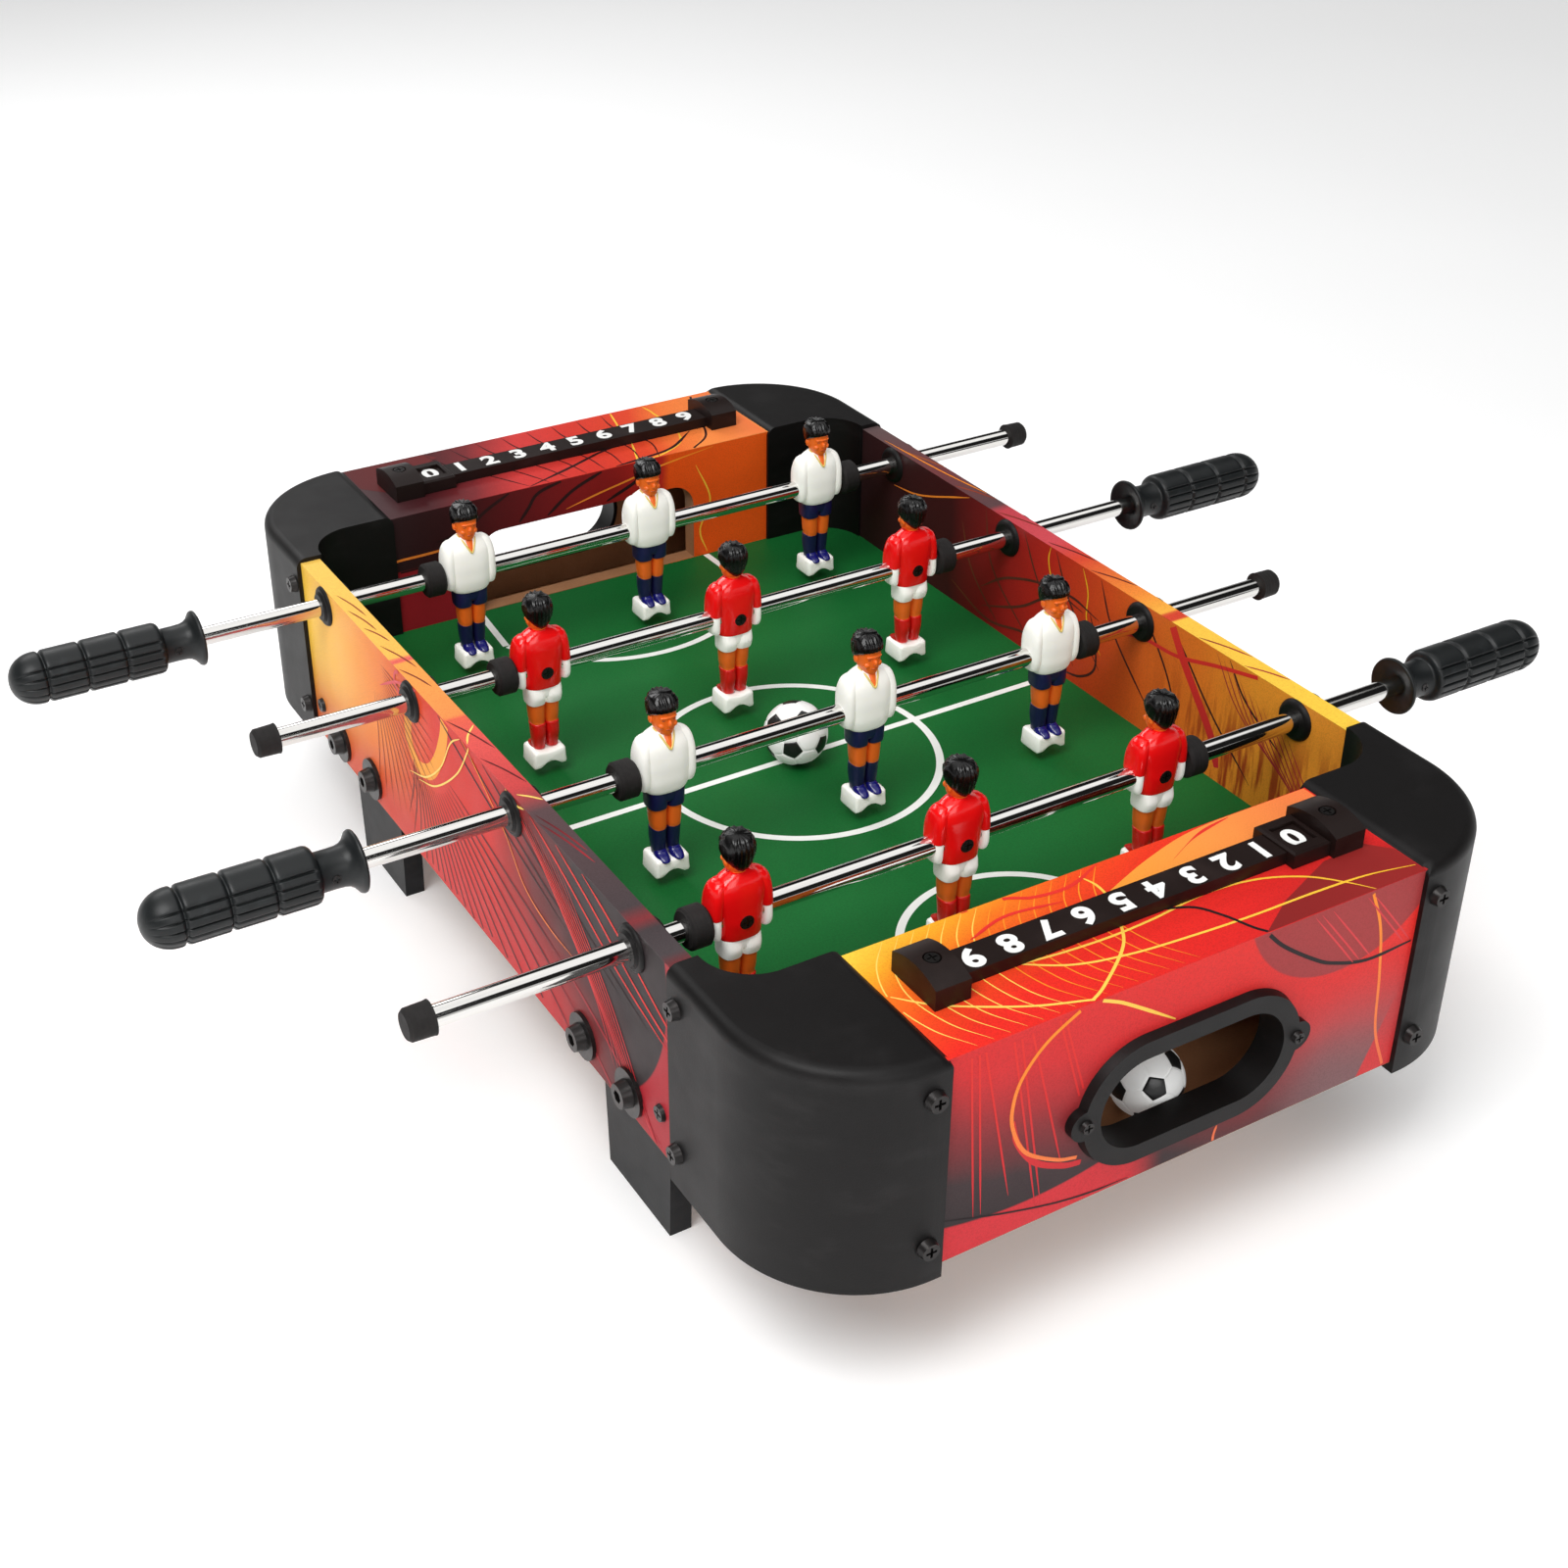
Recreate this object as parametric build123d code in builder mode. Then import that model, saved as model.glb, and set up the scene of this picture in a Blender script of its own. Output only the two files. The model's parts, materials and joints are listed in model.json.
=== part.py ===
from build123d import *
import os
from math import cos, pi, sin

os.makedirs("parts", exist_ok=True)

# Tabletop foosball.  Millimetres, +Z up, X along the rods, Y along the length of the table.
# The origin is on the tabletop plane (the underside of the legs), below the middle of the field.

# ---- cabinet ----
half_width = 153.5          # outer face of the side boards
half_length = 255.0         # outer face of the end boxes
board = 9.0                 # thickness of every board
body_bottom = 55.0
body_top = 141.0
side_half_length = 186.0    # the side boards end inside the corner caps
end_half_width = 111.5      # the end boxes end inside the corner caps
goal_face = 193.5           # field side of the goal walls
box_floor = 58.0            # top of the ball-box floor

# ---- playfield and goals ----
field_top = 81.5
field_thickness = 4.0
goal_half_width = 58.5
goal_height = 41.0
goal_corner = 12.0

# ---- corner caps ----
cap_skin = 2.0
cap_edge = 101.0            # edge of the cap on the end box
cap_side_edge = 171.5       # edge of the cap on the side board
cap_bottom = 51.0
cap_radius = 52.0
cap_inner_radius = 20.0
cap_web = 192.0             # field side of the cap
cap_wall = 3.5

# ---- legs ----
leg_thickness = 9.0
leg_foot = (101.0, 149.0)
leg_top = (97.5, 152.5)
leg_bolts_y = (102.5, 139.0)
leg_bolts_z = 65.5

# ---- rods ----
rod_z = 132.0
rod_radius = 4.0
running_gap = 0.05
bush_radius = 6.0
bush_flange_radius = 9.0
bush_flange = 2.0
# name: (Y, side of the handle, sideways position at rest, way the players face)
rods = {
    "rod1": (144.0, -1, 7.0, -1),
    "rod2": (48.0, 1, -3.0, 1),
    "rod3": (-48.0, -1, 3.0, -1),
    "rod4": (-144.0, 1, -20.0, 1),
}

# ---- what each rod carries, measured from its middle towards the handle ----
player_pitch = 92.5
player_half_width = 12.5
player_gap = 0.3
bumper_radius = 7.8
bumper_width = 8.6
cap_end = -216.5
cap_length = 9.5
cap_rod_radius = 6.25
handle_face = 217.0
handle_tip = 297.0
handle_radius = 11.0
handle_flange_radius = 12.0
neck_radius = 7.6
grip_from_face = 16.5
grip_segment = 16.5
handle_screw_x = 11.0
rod_into_handle = 58.0
set_screw_radius = 2.6

# ---- players, heights measured from the rod ----
foot_bottom = -46.2
foot_width = 16.0
foot_depth = 15.0
foot_height = 9.0
head_top = 33.7

# ---- ball return and score counters ----
ring_z = 92.0
ring_size = (96.0, 53.0)
ring_hole = (80.0, 37.0)
ring_proud = 3.5
ring_sleeve = 2.0
ring_screw_x = 46.2
counter_y = 221.0
counter_half_bar = 78.0
counter_end = 92.0
counter_screw_x = 85.0
counter_bar = (13.0, 5.0)
counter_block = (25.0, 11.0)
slider_size = (16.8, 21.0, 6.3)
slider_zero = 69.4
ball_radius = 13.9


def save(part, name):
    part.label = name
    export_step(part, f"parts/{name}.step")


def end_plane(side, distance, z=0.0):
    """Plane that faces outward at one end, with its own Y upward."""
    return Plane(origin=(0, side * distance, z), x_dir=(-side, 0, 0), z_dir=(0, side, 0))


def side_plane(side, distance, y=0.0, z=0.0):
    """Plane that faces outward on one side, with its own Y upward."""
    return Plane(origin=(side * distance, y, z), x_dir=(0, side, 0), z_dir=(side, 0, 0))


def rod_plane(name):
    """Plane through a rod's middle, with its own X towards the handle."""
    y, side, shift, _ = rods[name]
    return Plane(origin=(shift, y, rod_z), x_dir=(side, 0, 0), z_dir=(0, 0, 1))


def rod_axis(name):
    y, _, shift, _ = rods[name]
    return Axis((shift, y, rod_z), (1, 0, 0))


def cap_screw_planes(x_side, y_side):
    """Outward planes of the four screws of one corner cap."""
    planes = []
    for z in (67.0, 129.0):
        planes.append(side_plane(x_side, half_width + cap_skin, y_side * 177.0, z))
        planes.append(Plane(
            origin=(x_side * 107.5, y_side * (half_length + cap_skin), z),
            x_dir=(-y_side, 0, 0), z_dir=(0, y_side, 0)))
    return planes


def corner_outline():
    """Outline of a corner cap in the +X +Y quarter."""
    middle = (half_width + cap_skin - cap_radius, half_length + cap_skin - cap_radius)
    inner = (half_width - board - 1 - cap_inner_radius, cap_web - cap_inner_radius)
    k = cos(pi / 4)
    Line((cap_edge, half_length + cap_skin), (middle[0], half_length + cap_skin))
    ThreePointArc(
        (middle[0], middle[1] + cap_radius),
        (middle[0] + cap_radius * k, middle[1] + cap_radius * k),
        (middle[0] + cap_radius, middle[1]))
    Line((middle[0] + cap_radius, middle[1]), (half_width + cap_skin, cap_side_edge))
    Line((half_width + cap_skin, cap_side_edge), (inner[0] + cap_inner_radius, cap_side_edge))
    Line((inner[0] + cap_inner_radius, cap_side_edge), (inner[0] + cap_inner_radius, inner[1]))
    ThreePointArc(
        (inner[0] + cap_inner_radius, inner[1]),
        (inner[0] + cap_inner_radius * k, inner[1] + cap_inner_radius * k),
        (inner[0], inner[1] + cap_inner_radius))
    Line((inner[0], cap_web), (cap_edge, cap_web))
    Line((cap_edge, cap_web), (cap_edge, half_length + cap_skin))


# ---- side boards ----
def side_board(side):
    x = side * (half_width - board / 2)
    with BuildPart() as part:
        with BuildSketch(Plane.XY.offset(body_bottom)):
            with Locations((x, 0)):
                Rectangle(board, 2 * side_half_length)
        extrude(amount=body_top - body_bottom)
        with BuildSketch(side_plane(side, half_width)):
            with Locations([(y, rod_z) for y in (-144, -48, 48, 144)]):
                Circle(bush_radius)
            with Locations([(s * y, leg_bolts_z) for s in (-1, 1) for y in leg_bolts_y]):
                Circle(3.0)
            with Locations([(s * 177.0, z) for s in (-1, 1) for z in (67.0, 129.0)]):
                Circle(1.75)
        extrude(amount=-board, mode=Mode.SUBTRACT)
        with BuildSketch(side_plane(side, half_width)):
            with Locations((-162.0, 73.0), (162.0, 73.0)):
                Circle(1.6)
        extrude(amount=-7.0, mode=Mode.SUBTRACT)
    return part.part


save(side_board(-1), "side_board_left")
save(side_board(1), "side_board_right")


# ---- end boxes: front, top and floor panels folded from one board ----
def end_box(side):
    depth = half_length - goal_face
    with BuildPart() as part:
        with BuildSketch(Plane.YZ.offset(-end_half_width)):
            with BuildLine():
                Polyline(
                    (side * goal_face, body_bottom), (side * half_length, body_bottom),
                    (side * half_length, body_top), (side * goal_face, body_top),
                    (side * goal_face, body_top - board),
                    (side * (goal_face + depth - board), body_top - board),
                    (side * (goal_face + depth - board), box_floor),
                    (side * goal_face, box_floor), close=True)
            make_face()
        extrude(amount=2 * end_half_width)
        with BuildSketch(end_plane(side, half_length)):
            with Locations((0, ring_z)):
                SlotOverall(ring_hole[0] + 2 * ring_sleeve, ring_hole[1] + 2 * ring_sleeve)
        extrude(amount=-board, mode=Mode.SUBTRACT)
        with BuildSketch(end_plane(side, half_length)):
            with Locations((-ring_screw_x, ring_z), (ring_screw_x, ring_z)):
                Circle(1.4)
            with Locations([(s * 107.5, z) for s in (-1, 1) for z in (67.0, 129.0)]):
                Circle(1.75)
        extrude(amount=-8.0, mode=Mode.SUBTRACT)
        with BuildSketch(Plane.XY.offset(body_top)):
            with Locations((-counter_screw_x, side * counter_y), (counter_screw_x, side * counter_y)):
                Circle(1.5)
        extrude(amount=-7.0, mode=Mode.SUBTRACT)
    return part.part


save(end_box(-1), "end_box_near")
save(end_box(1), "end_box_far")


# ---- goal walls ----
def goal_wall(side):
    top = field_top + goal_height
    low = field_top
    wide = goal_half_width
    k = goal_corner * (1 - cos(pi / 4))
    with BuildPart() as part:
        with BuildSketch(end_plane(side, goal_face)):
            with Locations((0, (box_floor + body_top - board) / 2)):
                Rectangle(2 * end_half_width, body_top - board - box_floor)
            with BuildLine():
                Polyline((-wide, top - goal_corner), (-wide, low), (wide, low), (wide, top - goal_corner))
                ThreePointArc((wide, top - goal_corner), (wide - k, top - k), (wide - goal_corner, top))
                Line((wide - goal_corner, top), (goal_corner - wide, top))
                ThreePointArc((goal_corner - wide, top), (k - wide, top - k), (-wide, top - goal_corner))
            make_face(mode=Mode.SUBTRACT)
        extrude(amount=board)
    return part.part


save(goal_wall(-1), "goal_wall_near")
save(goal_wall(1), "goal_wall_far")


# ---- playfield, cut back at its corners around the caps ----
with BuildPart() as playfield:
    with BuildSketch(Plane.XY.offset(field_top - field_thickness)):
        Rectangle(2 * (half_width - board), 2 * goal_face)
        with BuildSketch(mode=Mode.SUBTRACT):
            with BuildLine():
                corner_outline()
            make_face()
            mirror(about=Plane.XZ)
            mirror(about=Plane.YZ)
    extrude(amount=field_thickness)
save(playfield.part, "playfield")


# ---- corner caps: moulded, open below, with pockets for the boards ----
def corner_cap(x_side, y_side):
    middle = (half_width + cap_skin - cap_radius, half_length + cap_skin - cap_radius)
    reach = end_half_width - cap_edge
    inner_top = body_top - board
    front = half_length - board
    with BuildPart() as part:
        with BuildSketch(Plane.XY.offset(cap_bottom)):
            with BuildLine():
                corner_outline()
            make_face()
        extrude(amount=body_top + cap_skin - cap_bottom)
        rim = part.edges().group_by(Axis.Z)[-1]
        outer = rim.filter_by(lambda e: e.center().X > 150 or e.center().Y > 250 or e.length > 60)
        fillet(outer, 4.5)
        with BuildSketch(Plane.XY.offset(body_bottom)):
            with Locations((half_width - board / 2, (cap_side_edge + side_half_length) / 2)):
                Rectangle(board, side_half_length - cap_side_edge)
        extrude(amount=body_top - body_bottom, mode=Mode.SUBTRACT)
        with BuildSketch(Plane.YZ.offset(cap_edge)):
            with BuildLine():
                Polyline(
                    (goal_face, body_bottom), (half_length, body_bottom), (half_length, body_top),
                    (goal_face, body_top), close=True)
            make_face()
            with BuildLine():
                Polyline(
                    (goal_face + board, box_floor), (front, box_floor), (front, inner_top),
                    (goal_face + board, inner_top), close=True)
            make_face(mode=Mode.SUBTRACT)
        extrude(amount=reach, mode=Mode.SUBTRACT)
        with BuildSketch(Plane.XY.offset(cap_bottom)):
            with Locations(middle):
                Circle(cap_radius - cap_wall)
            with Locations((end_half_width + cap_wall, goal_face + board)):
                Rectangle(60, 60, align=(Align.MIN, Align.MIN), mode=Mode.INTERSECT)
        extrude(amount=body_top - cap_wall - cap_bottom, mode=Mode.SUBTRACT)
        for plane in cap_screw_planes(1, 1):
            with BuildSketch(plane):
                Circle(1.75)
            extrude(amount=-12.0, mode=Mode.SUBTRACT)
        if x_side < 0:
            mirror(about=Plane.YZ, mode=Mode.REPLACE)
        if y_side < 0:
            mirror(about=Plane.XZ, mode=Mode.REPLACE)
    return part.part


save(corner_cap(-1, -1), "corner_cap_near_left")
save(corner_cap(1, -1), "corner_cap_near_right")
save(corner_cap(-1, 1), "corner_cap_far_left")
save(corner_cap(1, 1), "corner_cap_far_right")


# ---- legs: tapered plates against the inside of the side boards ----
def leg(x_side, y_side):
    top_z = field_top - field_thickness
    with BuildPart() as part:
        with BuildSketch(Plane.YZ.offset(x_side * (half_width - board))):
            with BuildLine():
                Polyline(
                    (y_side * leg_foot[0], 0), (y_side * leg_foot[1], 0),
                    (y_side * leg_top[1], top_z), (y_side * leg_top[0], top_z), close=True)
            make_face()
            with Locations([(y_side * y, leg_bolts_z) for y in leg_bolts_y]):
                Circle(3.0, mode=Mode.SUBTRACT)
        extrude(amount=-x_side * leg_thickness)
    return part.part


save(leg(-1, -1), "leg_near_left")
save(leg(1, -1), "leg_near_right")
save(leg(-1, 1), "leg_far_left")
save(leg(1, 1), "leg_far_right")


# ---- leg bolts: socket heads on wide pressed flanges ----
with BuildPart() as leg_bolts:
    for side in (-1, 1):
        places = [(s * y, leg_bolts_z) for s in (-1, 1) for y in leg_bolts_y]
        with BuildSketch(side_plane(side, half_width)):
            with Locations(places):
                Circle(3.0)
        extrude(amount=-board - leg_thickness)
        with BuildSketch(side_plane(side, half_width)):
            with Locations(places):
                Circle(9.5)
        extrude(amount=1.6)
        with BuildSketch(side_plane(side, half_width + 1.6)):
            with Locations(places):
                Circle(5.6)
        extrude(amount=4.0, taper=12)
        with BuildSketch(side_plane(side, half_width + 5.6)):
            with Locations(places):
                RegularPolygon(2.6, 6)
        extrude(amount=-3.0, mode=Mode.SUBTRACT)
save(leg_bolts.part, "leg_bolts")


# ---- corner cap screws ----
with BuildPart() as cap_screws:
    for x_side in (-1, 1):
        for y_side in (-1, 1):
            for plane in cap_screw_planes(x_side, y_side):
                with BuildSketch(plane):
                    Circle(1.75)
                extrude(amount=-9.5)
                with BuildSketch(plane):
                    Circle(4.0)
                extrude(amount=2.8, taper=14)
                with BuildSketch(plane.offset(2.8)):
                    Rectangle(4.2, 1.0)
                    Rectangle(1.0, 4.2)
                extrude(amount=-1.2, mode=Mode.SUBTRACT)
save(cap_screws.part, "cap_screws")


# ---- small screws: side boards, ball-return rings, counter end blocks ----
# plane under the head, head radius, head height, shank radius, shank length
small_screws = []
for x_side in (-1, 1):
    for y_side in (-1, 1):
        small_screws.append((side_plane(x_side, half_width, y_side * 162.0, 73.0), 3.4, 1.6, 1.6, 7.0))
        ring_screw = Plane(
            origin=(x_side * ring_screw_x, y_side * (half_length + ring_proud), ring_z),
            x_dir=(-y_side, 0, 0), z_dir=(0, y_side, 0))
        small_screws.append((ring_screw, 2.6, 1.5, 1.4, ring_proud + 8.0))
        block_screw = Plane(
            origin=(x_side * counter_screw_x, y_side * counter_y, body_top + counter_block[1] - 1.6),
            x_dir=(1, 0, 0), z_dir=(0, 0, 1))
        small_screws.append((block_screw, 3.0, 1.5, 1.5, counter_block[1] - 1.6 + 7.0))
with BuildPart() as trim_screws:
    for plane, head_radius, head_height, shank_radius, shank_length in small_screws:
        with BuildSketch(plane):
            Circle(shank_radius)
        extrude(amount=-shank_length)
        with BuildSketch(plane):
            Circle(head_radius)
        extrude(amount=head_height, taper=15)
        with BuildSketch(plane.offset(head_height)):
            Rectangle(1.3 * head_radius, 0.7)
            Rectangle(0.7, 1.3 * head_radius)
        extrude(amount=-0.7, mode=Mode.SUBTRACT)
save(trim_screws.part, "trim_screws")


# ---- bushes in the side boards ----
with BuildPart() as bushes:
    for side in (-1, 1):
        for y in (-144, -48, 48, 144):
            profile = Plane(origin=(side * half_width, y, rod_z), x_dir=(side, 0, 0), z_dir=(0, 0, 1))
            bore = rod_radius + running_gap
            with BuildSketch(profile):
                with BuildLine():
                    Polyline(
                        (bush_flange + 0.6, bore), (bush_flange + 0.6, bush_radius),
                        (bush_flange - 0.6, bush_radius + 1.0))
                    ThreePointArc(
                        (bush_flange - 0.6, bush_radius + 1.0),
                        (bush_flange - 0.9, bush_flange_radius - 0.5), (0, bush_flange_radius))
                    Polyline(
                        (0, bush_flange_radius), (0, bush_radius), (-board, bush_radius),
                        (-board, bush_flange_radius))
                    ThreePointArc(
                        (-board, bush_flange_radius),
                        (-board - 1.2, bush_flange_radius - 0.7),
                        (-board - bush_flange, bush_radius + 1.0))
                    Polyline(
                        (-board - bush_flange, bush_radius + 1.0), (-board - bush_flange, bore),
                        (bush_flange + 0.6, bore))
                make_face()
            revolve(axis=Axis((side * half_width, y, rod_z), (1, 0, 0)))
save(bushes.part, "bushes")


# ---- ball-return rings ----
def ball_return(side):
    with BuildPart() as part:
        with BuildSketch(end_plane(side, half_length)):
            with Locations((0, ring_z)):
                SlotOverall(*ring_size)
        extrude(amount=ring_proud, taper=14)
        with BuildSketch(end_plane(side, half_length)):
            with Locations((-ring_screw_x, ring_z), (ring_screw_x, ring_z)):
                Circle(6.2)
        extrude(amount=ring_proud)
        with BuildSketch(end_plane(side, half_length)):
            with Locations((0, ring_z)):
                SlotOverall(ring_hole[0] + 2 * ring_sleeve, ring_hole[1] + 2 * ring_sleeve)
        extrude(amount=-board)
        with BuildSketch(end_plane(side, half_length + ring_proud)):
            with Locations((0, ring_z)):
                SlotOverall(*ring_hole)
        extrude(amount=-board - ring_proud, mode=Mode.SUBTRACT)
        with BuildSketch(end_plane(side, half_length + ring_proud)):
            with Locations((-ring_screw_x, ring_z), (ring_screw_x, ring_z)):
                Circle(1.4)
        extrude(amount=-ring_proud, mode=Mode.SUBTRACT)
    return part.part


save(ball_return(-1), "ball_return_near")
save(ball_return(1), "ball_return_far")


# ---- score counters ----
def score_bar(side):
    wide, high = counter_bar
    block_wide, block_high = counter_block
    with BuildPart() as part:
        with BuildSketch(Plane.XY.offset(body_top)):
            with Locations((0, side * counter_y)):
                Rectangle(2 * counter_half_bar, wide)
        extrude(amount=high)
        ends = Plane(origin=(counter_half_bar, side * counter_y, body_top), x_dir=(0, 1, 0), z_dir=(1, 0, 0))
        with BuildSketch(ends):
            with BuildLine():
                Polyline(
                    (-block_wide / 2, block_high - 3.0), (-block_wide / 2, 0),
                    (block_wide / 2, 0), (block_wide / 2, block_high - 3.0))
                ThreePointArc(
                    (block_wide / 2, block_high - 3.0), (0, block_high),
                    (-block_wide / 2, block_high - 3.0))
            make_face()
        extrude(amount=counter_end - counter_half_bar)
        mirror(about=Plane.YZ)
        with BuildSketch(Plane.XY.offset(body_top)):
            with Locations((-counter_screw_x, side * counter_y), (counter_screw_x, side * counter_y)):
                Circle(1.5)
        extrude(amount=block_high, mode=Mode.SUBTRACT)
        with BuildSketch(Plane.XY.offset(body_top + block_high - 1.6)):
            with Locations((-counter_screw_x, side * counter_y), (counter_screw_x, side * counter_y)):
                Circle(3.2)
        extrude(amount=4.0, mode=Mode.SUBTRACT)
    return part.part


save(score_bar(-1), "score_bar_near")
save(score_bar(1), "score_bar_far")


def score_slider(side):
    """Window frame that straddles the bar; it stands at the end of the scale."""
    long, wide, high = slider_size
    middle = (-side * slider_zero, side * counter_y)
    with BuildPart() as part:
        with BuildSketch(Plane.XY.offset(body_top + 0.2)):
            with Locations(middle):
                Rectangle(long, wide)
        extrude(amount=high)
        chamfer(part.faces().sort_by(Axis.Z)[-1].edges(), 0.8)
        with BuildSketch(Plane.XY.offset(body_top + 0.2)):
            with Locations(middle):
                Rectangle(long, counter_bar[0] + 0.16)
        extrude(amount=counter_bar[1] - 0.12, mode=Mode.SUBTRACT)
        with BuildSketch(Plane.XY.offset(body_top)):
            with Locations(middle):
                Rectangle(long - 5.0, 12.0)
        extrude(amount=high + 2, mode=Mode.SUBTRACT)
    return part.part


save(score_slider(-1), "score_slider_near")
save(score_slider(1), "score_slider_far")


# ---- what turns and slides on each rod ----
def rod_bar(name):
    start = cap_end + 1.5
    end = handle_face + rod_into_handle
    with BuildPart() as part:
        with BuildSketch(rod_plane(name)):
            with Locations(((start + end) / 2, rod_radius / 2)):
                Rectangle(end - start, rod_radius)
        revolve(axis=rod_axis(name))
    return part.part


def end_cap(name):
    with BuildPart() as part:
        with BuildSketch(rod_plane(name)):
            with BuildLine():
                Polyline(
                    (cap_end, 0), (cap_end, cap_rod_radius - 1.4), (cap_end + 1.2, cap_rod_radius - 0.4),
                    (cap_end + cap_length - 1.0, cap_rod_radius - 0.2), (cap_end + cap_length, cap_rod_radius),
                    (cap_end + cap_length, rod_radius), (cap_end + 1.5, rod_radius), (cap_end + 1.5, 0),
                    close=True)
            make_face()
        revolve(axis=rod_axis(name))
    return part.part


def handle(name):
    """Dished flange, neck, three ribbed segments and a domed tip, with a blind bore for the rod."""
    start = handle_face
    grip = start + grip_from_face
    dome = handle_tip - handle_radius
    y, side, shift, _ = rods[name]
    profile = Plane(origin=(shift, y, rod_z), x_dir=(side, 0, 0), z_dir=(0, 0, side))
    with BuildPart() as part:
        with BuildSketch(profile):
            with BuildLine():
                Polyline(
                    (start, handle_flange_radius - 0.8), (start + 0.6, handle_flange_radius),
                    (start + 1.6, handle_flange_radius - 0.2), (start + 3.2, neck_radius + 2.0),
                    (start + 6.0, neck_radius), (grip - 0.5, neck_radius), (grip, handle_radius - 1.4),
                    (grip + 1.6, handle_radius), (dome, handle_radius))
                ThreePointArc(
                    (dome, handle_radius),
                    (dome + handle_radius * cos(pi / 4), handle_radius * sin(pi / 4)), (handle_tip, 0))
                Polyline(
                    (handle_tip, 0), (start + rod_into_handle, 0), (start + rod_into_handle, rod_radius),
                    (start + 3.0, rod_radius), (start, handle_flange_radius - 0.8))
            make_face()
            with Locations([(grip + grip_segment * k, handle_radius) for k in (1, 2, 3)]):
                Rectangle(1.1, 2.4, mode=Mode.SUBTRACT)
        revolve(axis=rod_axis(name))
        flutes = [a for a in range(36, 145, 12)] + [a for a in range(216, 325, 12)]
        flute_plane = Plane(
            origin=(shift + side * (grip + 2.0), y, rod_z), x_dir=(0, 0, 1), z_dir=(side, 0, 0))
        with BuildSketch(flute_plane):
            with Locations([
                    (handle_radius * cos(a * pi / 180), handle_radius * sin(a * pi / 180)) for a in flutes]):
                Circle(0.75)
        extrude(amount=3 * grip_segment - 2.0, mode=Mode.SUBTRACT)
        screw_plane = Plane(
            origin=(shift + side * (start + handle_screw_x), y - neck_radius + 1.0, rod_z),
            x_dir=(1, 0, 0), z_dir=(0, -1, 0))
        with BuildSketch(screw_plane):
            Circle(2.2)
        extrude(amount=3.0, mode=Mode.SUBTRACT)
        with BuildSketch(screw_plane):
            Circle(1.2)
        extrude(amount=-neck_radius + rod_radius, mode=Mode.SUBTRACT)
    return part.part


def bumpers(name):
    inner = player_pitch + player_half_width + player_gap
    with BuildPart() as part:
        with BuildSketch(rod_plane(name)):
            for s in (-1, 1):
                with Locations((s * (inner + bumper_width / 2), (bumper_radius + rod_radius + running_gap) / 2)):
                    Rectangle(bumper_width, bumper_radius - rod_radius - running_gap)
            chamfer(objects=[v for v in vertices() if v.Y > rod_radius + 1.0], length=1.0)
        revolve(axis=rod_axis(name))
    return part.part


def player(name, place):
    """Moulded figure on the rod: head, shoulders with hanging arms, shorts, legs and kicking block."""
    y, side, shift, facing = rods[name]
    x = shift + place * player_pitch

    def level(z, dy=0.0):
        return Plane(origin=(x, y + dy * facing, rod_z + z), x_dir=(1, 0, 0), z_dir=(0, 0, 1))

    with BuildPart() as part:
        for z, wide, deep in ((-10.5, 18.5, 13.0), (0.0, 20.0, 13.5), (11.0, 22.5, 12.5), (19.5, 17.0, 9.0)):
            with BuildSketch(level(z)):
                RectangleRounded(wide, deep, 4.0)
        loft()
        for s in (-1, 1):
            for z, wide, deep in ((-6.0, 5.5, 9.5), (2.0, 6.0, 11.5), (13.0, 6.5, 10.5), (17.5, 4.0, 6.5)):
                with BuildSketch(level(z)):
                    with Locations((s * (player_half_width - wide / 2 - (2.2 if z > 15 else 0)), 0)):
                        RectangleRounded(wide, deep, min(wide, deep) / 2 - 0.2)
            loft(ruled=True)
        with BuildSketch(level(18.0)):
            Circle(3.6)
        extrude(amount=5.0)
        with BuildSketch(Plane(origin=(x, y, rod_z), x_dir=(1, 0, 0), z_dir=(0, -1, 0))):
            with Locations((0, head_top - 8.2)):
                Ellipse(5.6, 8.2)
            with Locations((0, head_top - 8.2)):
                Rectangle(12, 20, align=(Align.MIN, Align.CENTER), mode=Mode.INTERSECT)
        revolve(axis=Axis((x, y, rod_z), (0, 0, 1)))
        for z, wide, deep in ((-18.5, 16.6, 12.6), (-10.0, 17.4, 12.8)):
            with BuildSketch(level(z)):
                RectangleRounded(wide, deep, 4.0)
        loft()
        for z, wide, deep in ((-38.0, 12.0, 8.0), (-27.0, 12.2, 8.4), (-18.0, 13.8, 9.6)):
            with BuildSketch(level(z)):
                RectangleRounded(wide, deep, 3.2)
        loft()
        with BuildSketch(level(foot_bottom)):
            RectangleRounded(foot_width, foot_depth, 1.5)
        extrude(amount=foot_height)
        with BuildSketch(Plane(origin=(x, y - foot_depth, rod_z + foot_bottom), x_dir=(1, 0, 0), z_dir=(0, 1, 0))):
            with Locations((0, 9.6)):
                Circle(12.0)
        extrude(amount=2 * foot_depth, mode=Mode.SUBTRACT)
        with BuildSketch(Plane(origin=(x - 20, y, rod_z), x_dir=(0, 1, 0), z_dir=(1, 0, 0))):
            Circle(rod_radius)
        extrude(amount=40, mode=Mode.SUBTRACT)
        with BuildSketch(Plane(origin=(x, y, rod_z), x_dir=(-facing, 0, 0), z_dir=(0, -facing, 0))):
            Circle(set_screw_radius)
        extrude(amount=12, mode=Mode.SUBTRACT)
    return part.part


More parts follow.
